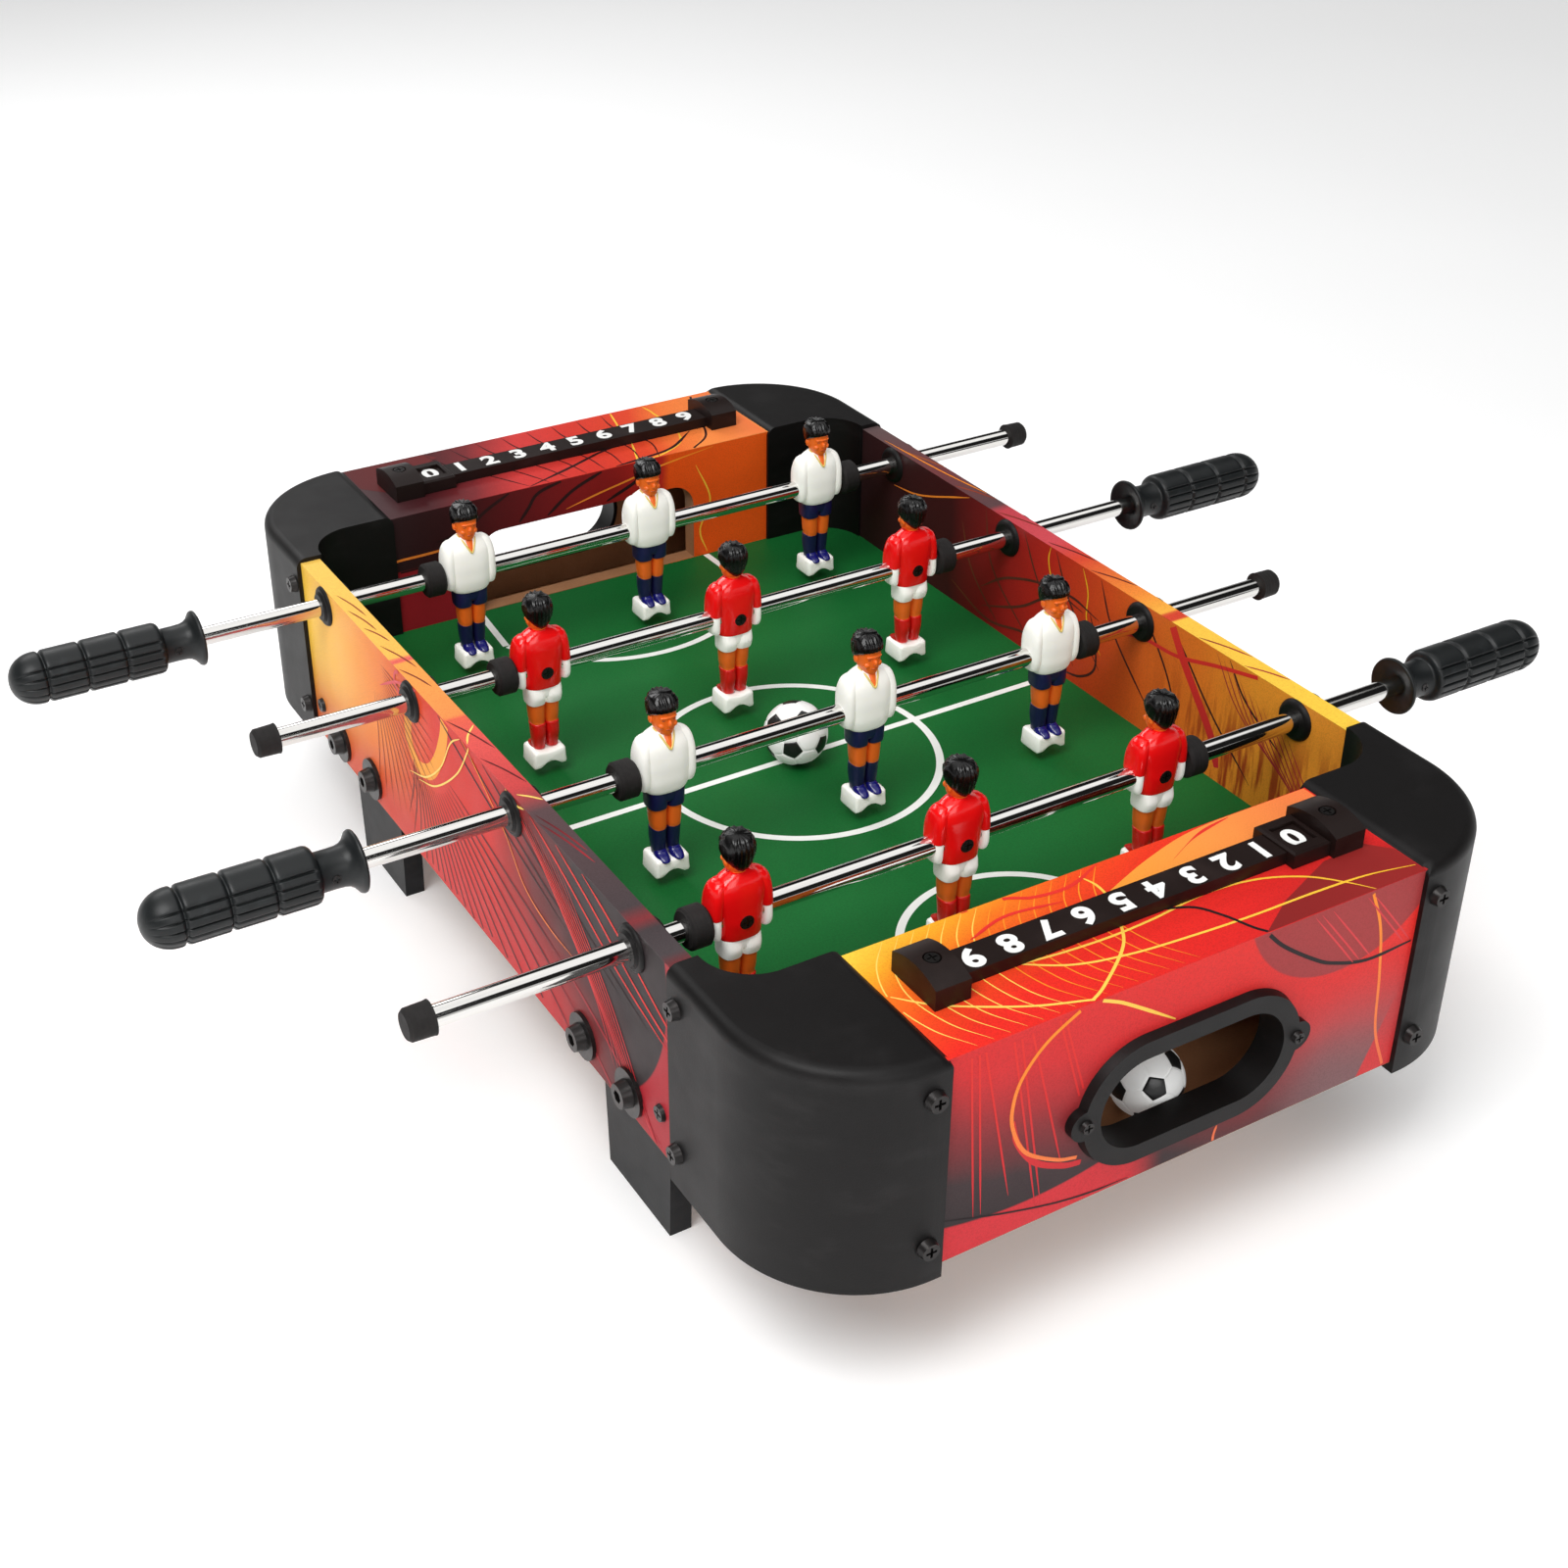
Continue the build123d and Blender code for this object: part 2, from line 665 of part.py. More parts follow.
def rod_screws(name):
    """A set screw in the back of each player, down to the rod, and the screw in the handle's neck."""
    y, side, shift, facing = rods[name]
    with BuildPart() as part:
        for place in (-1, 0, 1):
            plane = Plane(
                origin=(shift + place * player_pitch, y - facing * 7.2, rod_z),
                x_dir=(-facing, 0, 0), z_dir=(0, -facing, 0))
            with BuildSketch(plane):
                Circle(set_screw_radius)
            extrude(amount=-7.2 + rod_radius)
            with BuildSketch(plane):
                Rectangle(3.6, 0.8)
                Rectangle(0.8, 3.6)
            extrude(amount=-0.8, mode=Mode.SUBTRACT)
        neck = Plane(
            origin=(shift + side * (handle_face + handle_screw_x), y - neck_radius + 1.0, rod_z),
            x_dir=(1, 0, 0), z_dir=(0, -1, 0))
        with BuildSketch(neck):
            Circle(1.2)
        extrude(amount=-neck_radius + 1.0 + rod_radius)
        with BuildSketch(neck):
            Circle(2.0)
        extrude(amount=1.3, taper=12)
        with BuildSketch(neck.offset(1.3)):
            Rectangle(2.4, 0.6)
            Rectangle(0.6, 2.4)
        extrude(amount=-0.6, mode=Mode.SUBTRACT)
    return part.part


for name in rods:
    save(rod_bar(name), f"{name}_bar")
    save(end_cap(name), f"{name}_end_cap")
    save(handle(name), f"{name}_handle")
    save(bumpers(name), f"{name}_bumpers")
    save(rod_screws(name), f"{name}_screws")
    save(player(name, -1), f"{name}_player_left")
    save(player(name, 0), f"{name}_player_middle")
    save(player(name, 1), f"{name}_player_right")


# ---- balls: one on the centre spot, one in the near ball box ----
def ball(x, y, z):
    with BuildPart() as part:
        with BuildSketch(Plane(origin=(x, y, z), x_dir=(1, 0, 0), z_dir=(0, -1, 0))):
            Circle(ball_radius)
            Rectangle(2 * ball_radius, 2 * ball_radius, align=(Align.MIN, Align.CENTER), mode=Mode.INTERSECT)
        revolve(axis=Axis((x, y, z), (0, 0, 1)))
    return part.part


save(ball(0.0, 0.0, field_top + ball_radius), "ball_field")
save(ball(3.3, -231.8, box_floor + ball_radius), "ball_box")
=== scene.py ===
import json
import math

import bpy
import numpy as np
from mathutils import Matrix, Vector
from mathutils.geometry import tessellate_polygon


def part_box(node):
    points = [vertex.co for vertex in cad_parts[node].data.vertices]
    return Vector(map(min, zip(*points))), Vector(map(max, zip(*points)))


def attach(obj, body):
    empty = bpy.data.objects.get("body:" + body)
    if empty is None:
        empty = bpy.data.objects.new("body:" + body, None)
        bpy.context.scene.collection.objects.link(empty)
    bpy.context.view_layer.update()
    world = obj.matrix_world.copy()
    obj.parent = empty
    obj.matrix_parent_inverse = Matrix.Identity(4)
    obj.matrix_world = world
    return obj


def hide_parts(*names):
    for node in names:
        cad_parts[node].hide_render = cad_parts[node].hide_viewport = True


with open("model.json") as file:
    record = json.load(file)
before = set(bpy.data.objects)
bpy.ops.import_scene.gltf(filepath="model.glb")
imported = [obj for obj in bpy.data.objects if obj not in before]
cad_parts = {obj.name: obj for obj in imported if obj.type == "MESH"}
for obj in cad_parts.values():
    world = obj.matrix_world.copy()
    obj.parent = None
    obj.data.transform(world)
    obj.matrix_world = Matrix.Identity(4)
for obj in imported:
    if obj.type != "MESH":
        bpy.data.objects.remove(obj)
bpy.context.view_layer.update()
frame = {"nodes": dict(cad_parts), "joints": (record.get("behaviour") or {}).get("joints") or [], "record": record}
nodes = frame["nodes"]
joints = {j["name"]: j for j in frame["joints"]}

MM = 0.001
ROD_Z = 132.0
BOARD_TOP, PRINT_FOOT = 141.0, 55.3  # top edge of the boards, lowest printed height
SIDE_OUT, SIDE_IN = 153.5, 144.5  # faces of the side boards from the middle
END_OUT, WALL_IN = 255.0, 193.5  # front of an end box and field side of its goal wall
FIELD_TOP = 81.5
RODS = ("rod1", "rod2", "rod3", "rod4")
WHITE_RODS = ("rod1", "rod3")


def rgb(red, green, blue):
    """Linear colour of a 0-255 display colour."""
    out = []
    for v in (red, green, blue):
        v /= 255.0
        out.append(v / 12.92 if v <= 0.04045 else ((v + 0.055) / 1.055) ** 2.4)
    return (*out, 1.0)


# ---------------------------------------------------------------- materials


class Paint:
    """One material. Lengths inside its nodes are millimetres of the object's own space."""

    def __init__(self, name, **inputs):
        self.mat = bpy.data.materials.new(name)
        self.mat.use_nodes = True
        self.tree = self.mat.node_tree
        self.bsdf = self.tree.nodes["Principled BSDF"]
        for key, value in inputs.items():
            self.bsdf.inputs[key.replace("_", " ")].default_value = value
        coord = self.tree.nodes.new("ShaderNodeTexCoord")
        self.point = self.vector("SCALE", coord.outputs["Object"], scale=1000.0)
        split = self.tree.nodes.new("ShaderNodeSeparateXYZ")
        self.put(split.inputs[0], self.point)
        self.x, self.y, self.z = split.outputs
        self.height = None

    def put(self, socket, value):
        if isinstance(value, bpy.types.NodeSocket):
            self.tree.links.new(value, socket)
        else:
            socket.default_value = value

    def vector(self, operation, a, b=None, scale=None):
        node = self.tree.nodes.new("ShaderNodeVectorMath")
        node.operation = operation
        self.put(node.inputs[0], a)
        if b is not None:
            self.put(node.inputs[1], b)
        if scale is not None:
            self.put(node.inputs[3], scale)
        return node.outputs[1] if operation in ("DOT_PRODUCT", "LENGTH", "DISTANCE") else node.outputs[0]

    def math(self, operation, *values):
        node = self.tree.nodes.new("ShaderNodeMath")
        node.operation = operation
        for socket, value in zip(node.inputs, values):
            self.put(socket, value)
        return node.outputs[0]

    def times(self, a, b):
        return self.math("MULTIPLY", a, b)

    def plus(self, a, b):
        return self.math("ADD", a, b)

    def distance(self, a, a0, b, b0):
        """Distance from (a0, b0) in the plane of the coordinates a and b."""
        squares = [self.math("POWER", self.math("SUBTRACT", v, v0), 2.0) for v, v0 in ((a, a0), (b, b0))]
        return self.math("SQRT", self.plus(*squares))

    def smooth(self, value, low, high):
        """0 at low, 1 at high, soft in between."""
        node = self.tree.nodes.new("ShaderNodeMapRange")
        node.interpolation_type = "SMOOTHSTEP"
        flip = low > high
        self.put(node.inputs[0], value)
        node.inputs[1].default_value, node.inputs[2].default_value = (high, low) if flip else (low, high)
        node.inputs[3].default_value, node.inputs[4].default_value = (1.0, 0.0) if flip else (0.0, 1.0)
        return node.outputs[0]

    def noise(self, size, detail=2.0, stretch=(1, 1, 1), shift=(0, 0, 0)):
        """Noise from 0 to 1 whose features are about size millimetres."""
        node = self.tree.nodes.new("ShaderNodeTexNoise")
        node.inputs["Scale"].default_value = 1.0 / size
        node.inputs["Detail"].default_value = detail
        moved = self.vector("ADD", self.vector("MULTIPLY", self.point, stretch), shift)
        self.put(node.inputs["Vector"], moved)
        return node.outputs[0]

    def mix(self, share, a, b, blend="MIX"):
        node = self.tree.nodes.new("ShaderNodeMix")
        node.data_type = "RGBA"
        node.blend_type = blend
        self.put(node.inputs[0], share)
        self.put(node.inputs[6], a)
        self.put(node.inputs[7], b)
        return node.outputs[2]

    def ramp(self, value, low, high, stops):
        """Colour for a value that runs from low to high; each stop is (value, colour)."""
        node = self.tree.nodes.new("ShaderNodeValToRGB")
        elements = node.color_ramp.elements
        while len(elements) < len(stops):
            elements.new(0.5)
        for element, (place, colour) in zip(elements, stops):
            element.position = (place - low) / (high - low)
            element.color = colour
        self.put(node.inputs[0], self.math("DIVIDE", self.math("SUBTRACT", value, low), high - low))
        return node.outputs[0]

    def colour(self, value):
        self.put(self.bsdf.inputs["Base Color"], value)
        return self

    def vary(self, colour, size, amount):
        """Base colour with slow light and dark variation."""
        dark = self.mix(1.0, colour, (1 - amount, 1 - amount, 1 - amount, 1), "MULTIPLY")
        return self.colour(self.mix(self.noise(size, 3.0), dark, colour))

    def rough(self, low, high, size=6.0):
        span = self.math("MULTIPLY_ADD", self.noise(size, 3.0, shift=(31, 7, 3)), high - low, low)
        self.put(self.bsdf.inputs["Roughness"], span)
        return self

    def bump(self, height, distance):
        """Height from 0 to 1 over distance millimetres."""
        node = self.tree.nodes.new("ShaderNodeBump")
        node.inputs["Distance"].default_value = distance * MM
        self.put(node.inputs["Height"], height)
        if self.height is not None:
            self.tree.links.new(self.height, node.inputs["Normal"])
        self.height = node.outputs[0]
        self.put(self.bsdf.inputs["Normal"], self.height)
        return self

    def done(self):
        return self.mat


def plastic(name, colour, gloss=(0.22, 0.34), variation=0.08, grain=0.02, size=9.0, **inputs):
    paint = Paint(name, **inputs)
    paint.vary(colour, size, variation).rough(*gloss)
    return paint.bump(paint.noise(0.9, 2.0), grain).done()


YELLOW, RED = rgb(250, 205, 70), rgb(205, 38, 32)


def fibreboard(paint):
    """Colour of raw fibreboard: fine brown fibres."""
    speck = paint.noise(0.7, 4.0)
    base = paint.mix(paint.noise(14.0, 3.0), rgb(150, 104, 72), rgb(188, 138, 98))
    return paint.mix(paint.times(speck, 0.45), base, rgb(112, 72, 48))


def finish_print(paint, colour, outside):
    """Print where outside is 1 and raw fibreboard elsewhere, with a satin laminate surface."""
    grain = paint.smooth(paint.noise(0.55, 3.0), 0.42, 0.66)
    colour = paint.mix(paint.times(grain, 0.16), colour, rgb(30, 24, 24))
    paint.colour(paint.mix(outside, fibreboard(paint), colour))
    paint.rough(0.36, 0.52, 12.0)
    paint.bump(paint.noise(0.8, 2.0), 0.02)
    return paint.done()


def side_print(name, turn):
    """Side board. turn is 1 for the left board and -1 for the right one, which is the same print turned."""
    paint = Paint(name, Specular_IOR_Level=0.12)
    y = paint.times(paint.y, turn)
    warp = paint.math("MULTIPLY_ADD", paint.noise(60.0, 2.0), 26.0, -13.0)
    low = paint.math("SUBTRACT", paint.z, 98.0)
    t = paint.plus(y, warp)
    base = paint.ramp(t, -190, 190, [(-186, rgb(44, 38, 39)), (-104, rgb(50, 38, 40)),
        (-66, rgb(112, 30, 32)), (-26, RED), (20, rgb(216, 50, 34)), (55, rgb(230, 92, 42)),
        (95, rgb(244, 146, 58)), (130, rgb(250, 184, 84)), (180, YELLOW)])
    # the lower edge stays red further along, and the near corner is red under an arc
    glow = paint.times(paint.smooth(low, 10.0, -40.0), paint.smooth(y, -150.0, -60.0))
    base = paint.mix(paint.times(glow, 0.85), base, rgb(206, 44, 48))
    reach = paint.distance(y, -88.0, paint.z, 128.0)
    corner = paint.times(paint.smooth(reach, 79.5, 80.5), paint.smooth(y, -100.0, -101.0))
    base = paint.mix(corner, base, rgb(172, 38, 48))
    # the inside and the top edge have their own run of the print, the other way round
    inner = paint.ramp(paint.plus(paint.y, warp), -190, 190,
        [(-186, rgb(236, 150, 50)), (-120, rgb(240, 152, 48)), (-88, rgb(236, 124, 40)),
        (-30, rgb(226, 84, 34)), (12, rgb(196, 42, 30)), (50, rgb(150, 28, 28)), (90, rgb(64, 22, 24)),
        (186, rgb(44, 30, 31))])
    streak = paint.noise(3.4, 3.0, stretch=(1.0, 1.0, 0.12))
    grain = paint.times(paint.smooth(streak, 0.42, 0.62), paint.smooth(paint.z, 138.0, 96.0))
    grain = paint.times(grain, paint.smooth(paint.y, -40.0, -110.0))
    inner = paint.mix(paint.times(grain, 0.85), inner, rgb(150, 34, 24))
    inner_left = paint.ramp(t, -190, 190, [
        (-186, rgb(60, 40, 42)), (-95, rgb(70, 24, 26)), (-40, rgb(150, 30, 32)), (0, rgb(200, 50, 36)),
        (60, rgb(230, 104, 44)), (186, YELLOW)])
    side_x = paint.times(paint.x, turn)
    facing_in = paint.smooth(side_x, -145.2, -144.8)
    base = paint.mix(facing_in, base, inner if turn < 0 else inner_left)
    # top edge: pink-red and dark bands
    top = paint.smooth(paint.z, 140.7, 140.9)
    if turn > 0:
        edge = paint.ramp(paint.y, -190, 190, [(-186, rgb(70, 62, 64)), (-172, rgb(120, 40, 44)),
            (-164, rgb(74, 66, 68)), (-148, rgb(66, 58, 60)), (-142, rgb(128, 48, 52)),
            (-134, rgb(70, 60, 62)), (-64, rgb(88, 66, 68)), (-46, rgb(196, 66, 66)),
            (-8, rgb(220, 84, 78)), (12, rgb(226, 96, 72)), (14, rgb(238, 142, 74)),
            (64, rgb(244, 160, 72)), (65, rgb(228, 96, 86)), (68, rgb(228, 96, 86)),
            (69, rgb(246, 184, 80)), (186, rgb(244, 200, 92))])
    else:
        edge = paint.ramp(paint.y, -190, 190, [
            (-186, YELLOW), (-68, rgb(250, 196, 74)), (-67, rgb(212, 70, 48)), (-61, rgb(212, 70, 48)),
            (-60, rgb(248, 180, 70)), (-40, rgb(240, 140, 56)), (0, rgb(214, 70, 48)), (20, rgb(206, 76, 84)),
            (58, rgb(190, 66, 76)), (64, rgb(92, 66, 68)), (110, rgb(112, 58, 60)), (186, rgb(92, 84, 84))])
    base = paint.mix(top, base, edge)
    outside = paint.smooth(paint.z, 55.05, 55.2)
    return finish_print(paint, base, outside)


def end_print(name, turn):
    """End box and goal wall. turn is 1 at the near end and -1 at the far end."""
    paint = Paint(name, Specular_IOR_Level=0.12)
    x = paint.times(paint.x, turn)
    y = paint.times(paint.y, turn)
    warp = paint.math("MULTIPLY_ADD", paint.noise(55.0, 2.0), 22.0, -11.0)
    # front: red above, charcoal at the lower left, an arc of grey at the upper right
    fall = paint.plus(paint.math("MULTIPLY_ADD", x, 0.3, paint.z), warp)
    front = paint.ramp(fall, 0, 180, [
        (30, rgb(40, 38, 39)), (58, rgb(62, 48, 50)), (82, rgb(140, 46, 50)), (106, rgb(206, 46, 48)),
        (150, rgb(226, 48, 42))])
    pale = paint.times(paint.smooth(x, 30, 70), paint.smooth(paint.z, 112, 58))
    front = paint.mix(paint.times(pale, 0.8), front, rgb(124, 96, 98))
    arc = paint.distance(x, 66.0, paint.z, 158.0)
    front = paint.mix(paint.times(paint.smooth(arc, 47.5, 46.5), 0.75), front, rgb(132, 62, 64))
    bowl = paint.distance(x, -66.0, paint.z, 214.0)
    under = paint.times(paint.smooth(bowl, 147.5, 148.5), paint.smooth(x, -6.0, -24.0))
    front = paint.mix(paint.times(under, 0.9), front, rgb(214, 48, 56))
    wedge = paint.smooth(paint.math("MULTIPLY_ADD", paint.z, -0.42, x), 60.5, 61.5)
    low_right = paint.times(wedge, paint.smooth(paint.z, 100.0, 60.0))
    front = paint.mix(paint.times(low_right, 0.9), front, rgb(214, 50, 52))
    if turn > 0:
        # top: a yellow fan at the field side of the left end, orange, then red outward and to the right
        fan = paint.plus(paint.vector("DOT_PRODUCT", paint.point, (0.42, -1.0, 0.0)), warp)
        top = paint.ramp(fan, 150, 300, [
            (152, YELLOW), (166, rgb(246, 166, 40)), (180, rgb(240, 112, 30)), (196, rgb(234, 72, 30)),
            (216, rgb(228, 44, 34)), (290, rgb(206, 36, 40))])
        shade = paint.times(paint.smooth(x, 28, 84), paint.smooth(y, -229, -244))
        top = paint.mix(paint.times(shade, 0.4), top, rgb(96, 34, 30))
    else:
        across = paint.plus(paint.vector("DOT_PRODUCT", paint.point, (1.0, -0.35, 0.0)), 80.0)
        top = paint.ramp(paint.plus(across, warp), -120, 130,
            [(-110, rgb(74, 60, 62)), (-70, rgb(70, 26, 30)), (-46, rgb(120, 40, 44)),
            (-20, rgb(206, 60, 58)), (16, rgb(212, 56, 44)), (46, rgb(222, 70, 40)),
            (66, rgb(240, 120, 56)), (110, rgb(246, 150, 76))])
        # wall above and beside the goal, seen across the field
        wall = paint.ramp(paint.plus(paint.x, paint.times(warp, 0.6)), -120, 120, [
            (-110, rgb(44, 30, 32)), (-64, rgb(60, 22, 26)), (-30, rgb(108, 26, 30)), (12, rgb(150, 30, 30)),
            (40, rgb(190, 40, 30)), (44, rgb(238, 84, 22)), (110, rgb(246, 96, 26))])
        panel = paint.times(paint.smooth(paint.x, -56, -58), paint.smooth(paint.z, 113.5, 112.5))
        wall = paint.mix(panel, wall, rgb(150, 32, 40))
    is_top = paint.smooth(paint.z, 140.7, 140.9)
    is_front = paint.smooth(y, -254.6, -254.8)
    is_wall = paint.times(paint.smooth(y, -193.9, -193.7), paint.smooth(paint.z, 55.2, 55.6))
    if turn > 0:
        wall = paint.ramp(paint.plus(paint.x, warp), -120, 120,
            [(-110, rgb(244, 150, 56)), (-50, rgb(226, 84, 40)), (20, rgb(150, 34, 34)),
            (110, rgb(56, 28, 30))])
    colour = paint.mix(is_wall, front, wall)
    colour = paint.mix(is_top, colour, top)
    outside = paint.math("MAXIMUM", is_top, paint.math("MAXIMUM", is_front, is_wall))
    outside = paint.times(outside, paint.smooth(paint.z, 55.05, 55.2))
    return finish_print(paint, colour, outside)


def ink(name, axis, low, high, stops):
    """Printed line colour that may change along X, Y or Z."""
    paint = Paint(name, Roughness=0.45, Specular_IOR_Level=0.12)
    place = {"x": paint.x, "y": paint.y, "z": paint.z}[axis]
    colour = paint.ramp(place, low, high, stops)
    speck = paint.smooth(paint.noise(0.5, 2.0), 0.4, 0.7)
    paint.colour(paint.mix(paint.times(speck, 0.12), colour, rgb(60, 30, 26)))
    return paint.done()


def field_material():
    paint = Paint("Field_print", Specular_IOR_Level=0.15)
    cloth = paint.mix(paint.noise(70.0, 3.0), rgb(14, 92, 38), rgb(24, 110, 50))
    speck = paint.smooth(paint.noise(0.8, 3.0), 0.35, 0.7)
    paint.colour(paint.mix(paint.times(speck, 0.35), cloth, rgb(14, 70, 32)))
    edge = paint.smooth(paint.z, 81.2, 81.35)
    paint.colour(paint.mix(edge, fibreboard(paint), paint.bsdf.inputs["Base Color"].links[0].from_socket))
    paint.rough(0.42, 0.56, 20.0)
    return paint.bump(paint.noise(0.9, 3.0), 0.03).done()


def moulded_black(name, colour=rgb(14, 12, 12), gloss=(0.42, 0.54), grain=0.05, size=0.55):
    paint = Paint(name, Specular_IOR_Level=0.2)
    scuff = paint.smooth(paint.noise(26.0, 5.0, stretch=(1, 1, 2.5)), 0.5, 0.8)
    lighter = tuple(min(1.0, c * 1.6 + 0.004) for c in colour[:3]) + (1.0,)
    paint.colour(paint.mix(scuff, colour, lighter))
    paint.rough(*gloss, 14.0)
    return paint.bump(paint.noise(size, 3.0), grain).done()


def chrome_material():
    paint = Paint("Chrome_tube", Metallic=1.0)
    streak = paint.noise(1.4, 2.0, stretch=(0.02, 1, 1))
    paint.colour(paint.mix(streak, rgb(214, 212, 210), rgb(238, 236, 232)))
    paint.put(paint.bsdf.inputs["Roughness"], paint.math("MULTIPLY_ADD", streak, 0.06, 0.045))
    return paint.bump(streak, 0.004).done()


def steel_black():
    paint = Paint("Black_steel", Metallic=0.6)
    paint.colour(paint.mix(paint.noise(3.0, 3.0), rgb(24, 22, 22), rgb(48, 45, 44)))
    paint.rough(0.26, 0.4, 3.0)
    return paint.bump(paint.noise(0.6, 2.0), 0.02).done()


def rubber_black():
    paint = Paint("Rubber", Specular_IOR_Level=0.3)
    paint.colour(paint.mix(paint.noise(2.5, 4.0), rgb(18, 16, 16), rgb(36, 33, 32)))
    paint.rough(0.62, 0.8, 4.0)
    ribs = paint.smooth(paint.math("ABSOLUTE", paint.math("SINE", paint.times(paint.x, 1.6))), 0.0, 0.3)
    paint.bump(ribs, 0.06)
    return paint.bump(paint.noise(0.7, 3.0), 0.05).done()


MATS = {
    "black_plastic": moulded_black("Black_moulding"),
    "black_board": moulded_black("Black_laminate", rgb(19, 19, 21), (0.4, 0.52), 0.03, 0.7),
    "black_steel": steel_black(),
    "counter_plastic": moulded_black("Counter_moulding", rgb(28, 18, 16), (0.34, 0.46), 0.03, 0.5),
    "chrome": chrome_material(),
    "rubber": rubber_black(),
    "field": field_material(),
}


# ---------------------------------------------------------------- meshes


def new_object(name, verts, faces, mats, face_mats=None, smooth=True):
    """Mesh object from vertices in millimetres."""
    mesh = bpy.data.meshes.new(name)
    mesh.from_pydata([tuple(c * MM for c in v) for v in verts], [], faces)
    for mat in mats:
        mesh.materials.append(mat)
    if face_mats is not None:
        mesh.polygons.foreach_set("material_index", face_mats)
    mesh.polygons.foreach_set("use_smooth", [smooth] * len(faces))
    mesh.validate()
    mesh.update()
    obj = bpy.data.objects.new(name, mesh)
    bpy.context.scene.collection.objects.link(obj)
    return obj


def instance(name, source, location, turn):
    """Another object with the same mesh, turned about Z."""
    obj = bpy.data.objects.new(name, source.data)
    obj.location = [c * MM for c in location]
    obj.rotation_euler = (0, 0, turn)
    bpy.context.scene.collection.objects.link(obj)
    return obj


def spline(points, step=0.16):
    """Smooth path (Catmull-Rom) through the points."""
    p = [np.array(q, float) for q in points]
    p = [2 * p[0] - p[1], *p, 2 * p[-1] - p[-2]]
    out = []
    for i in range(1, len(p) - 2):
        for t in np.arange(0.0, 1.0, step):
            out.append(0.5 * (2 * p[i] + (p[i + 1] - p[i - 1]) * t
                + (2 * p[i - 1] - 5 * p[i] + 4 * p[i + 1] - p[i + 2]) * t * t
                + (3 * p[i] - p[i - 1] - 3 * p[i + 1] + p[i + 2]) * t ** 3))
    out.append(p[-2])
    return out


class Clay:
    """Collects lofted shells, each closed at both ends, with a material for every face."""

    def __init__(self, around):
        self.around = around
        self.verts, self.faces, self.mats = [], [], []

    def rings(self, rows, mat):
        """rows: lists of points, one list a ring."""
        n, first = len(rows[0]), len(self.verts)
        for row in rows:
            self.verts.extend(tuple(p) for p in row)
        for i in range(len(rows) - 1):
            for k in range(n):
                a, b = first + i * n + k, first + i * n + (k + 1) % n
                self.faces.append((a, b, b + n, a + n))
                self.mats.append(mat)
        for i, order in ((0, -1), (len(rows) - 1, 1)):
            ends = [first + i * n + k for k in range(n)][::order]
            centre = len(self.verts)
            self.verts.append(tuple(np.mean([self.verts[v] for v in ends], axis=0)))
            for k in range(n):
                self.faces.append((ends[k], ends[(k + 1) % n], centre))
                self.mats.append(mat)

    def stack(self, levels, mat, power=2.6, step=0.2, shape=None):
        """Loft along Z. levels: (z, half width, half depth, centre x, centre y) from the bottom up."""
        rows = []
        for z, a, b, cx, cy in spline(levels, step):
            row = []
            for k in range(self.around):
                t = 2 * math.pi * k / self.around
                c, s = math.cos(t), math.sin(t)
                dx = math.copysign(abs(c) ** (2 / power), c) * a
                dy = math.copysign(abs(s) ** (2 / power), s) * b
                if shape:
                    dx, dy = shape(dx, dy, z, t)
                row.append((cx + dx, cy + dy, z))
            rows.append(row)
        self.rings(rows, mat)

    def ball(self, centre, radii, mat, rows=12):
        """Closed ellipsoid."""
        out = []
        for i in range(1, rows):
            lat = math.pi * (i / rows - 0.5)
            out.append([(
                centre[0] + radii[0] * math.cos(lat) * math.cos(2 * math.pi * k / self.around),
                centre[1] + radii[1] * math.cos(lat) * math.sin(2 * math.pi * k / self.around),
                centre[2] + radii[2] * math.sin(lat)) for k in range(self.around)])
        self.rings(out, mat)

    def tube(self, path, radius, mat, sides=8):
        out = []
        for i, p in enumerate(path):
            ahead = np.array(path[min(i + 1, len(path) - 1)]) - np.array(path[max(i - 1, 0)])
            ahead = ahead / np.linalg.norm(ahead)
            side = np.cross(ahead, (0.31, 0.2, 0.93))
            side = side / np.linalg.norm(side)
            up = np.cross(side, ahead)
            out.append([tuple(np.array(p) + radius * (math.cos(2 * math.pi * k / sides) * side
                + math.sin(2 * math.pi * k / sides) * up)) for k in range(sides)])
        self.rings(out, mat)


# ---------------------------------------------------------------- players
# Local space: rod axis along X through the origin, the figure faces -Y.

HEAD = [  # z, half width, half depth, centre x, centre y
    (16.9, 1.6, 1.7, 0, -2.9), (17.6, 2.7, 3.0, 0, -2.2), (19.0, 3.8, 4.4, 0, -1.2),
    (21.0, 4.5, 5.2, 0, -0.6), (24.0, 4.9, 5.6, 0, -0.3), (27.0, 5.1, 5.9, 0, 0.0),
    (29.6, 4.9, 5.8, 0, 0.2), (31.6, 3.9, 4.8, 0, 0.4), (32.6, 2.2, 2.8, 0, 0.5)]


def head_size(z):
    zs = [r[0] for r in HEAD]
    return [float(np.interp(z, zs, [r[i] for r in HEAD])) for i in (1, 2, 4)]


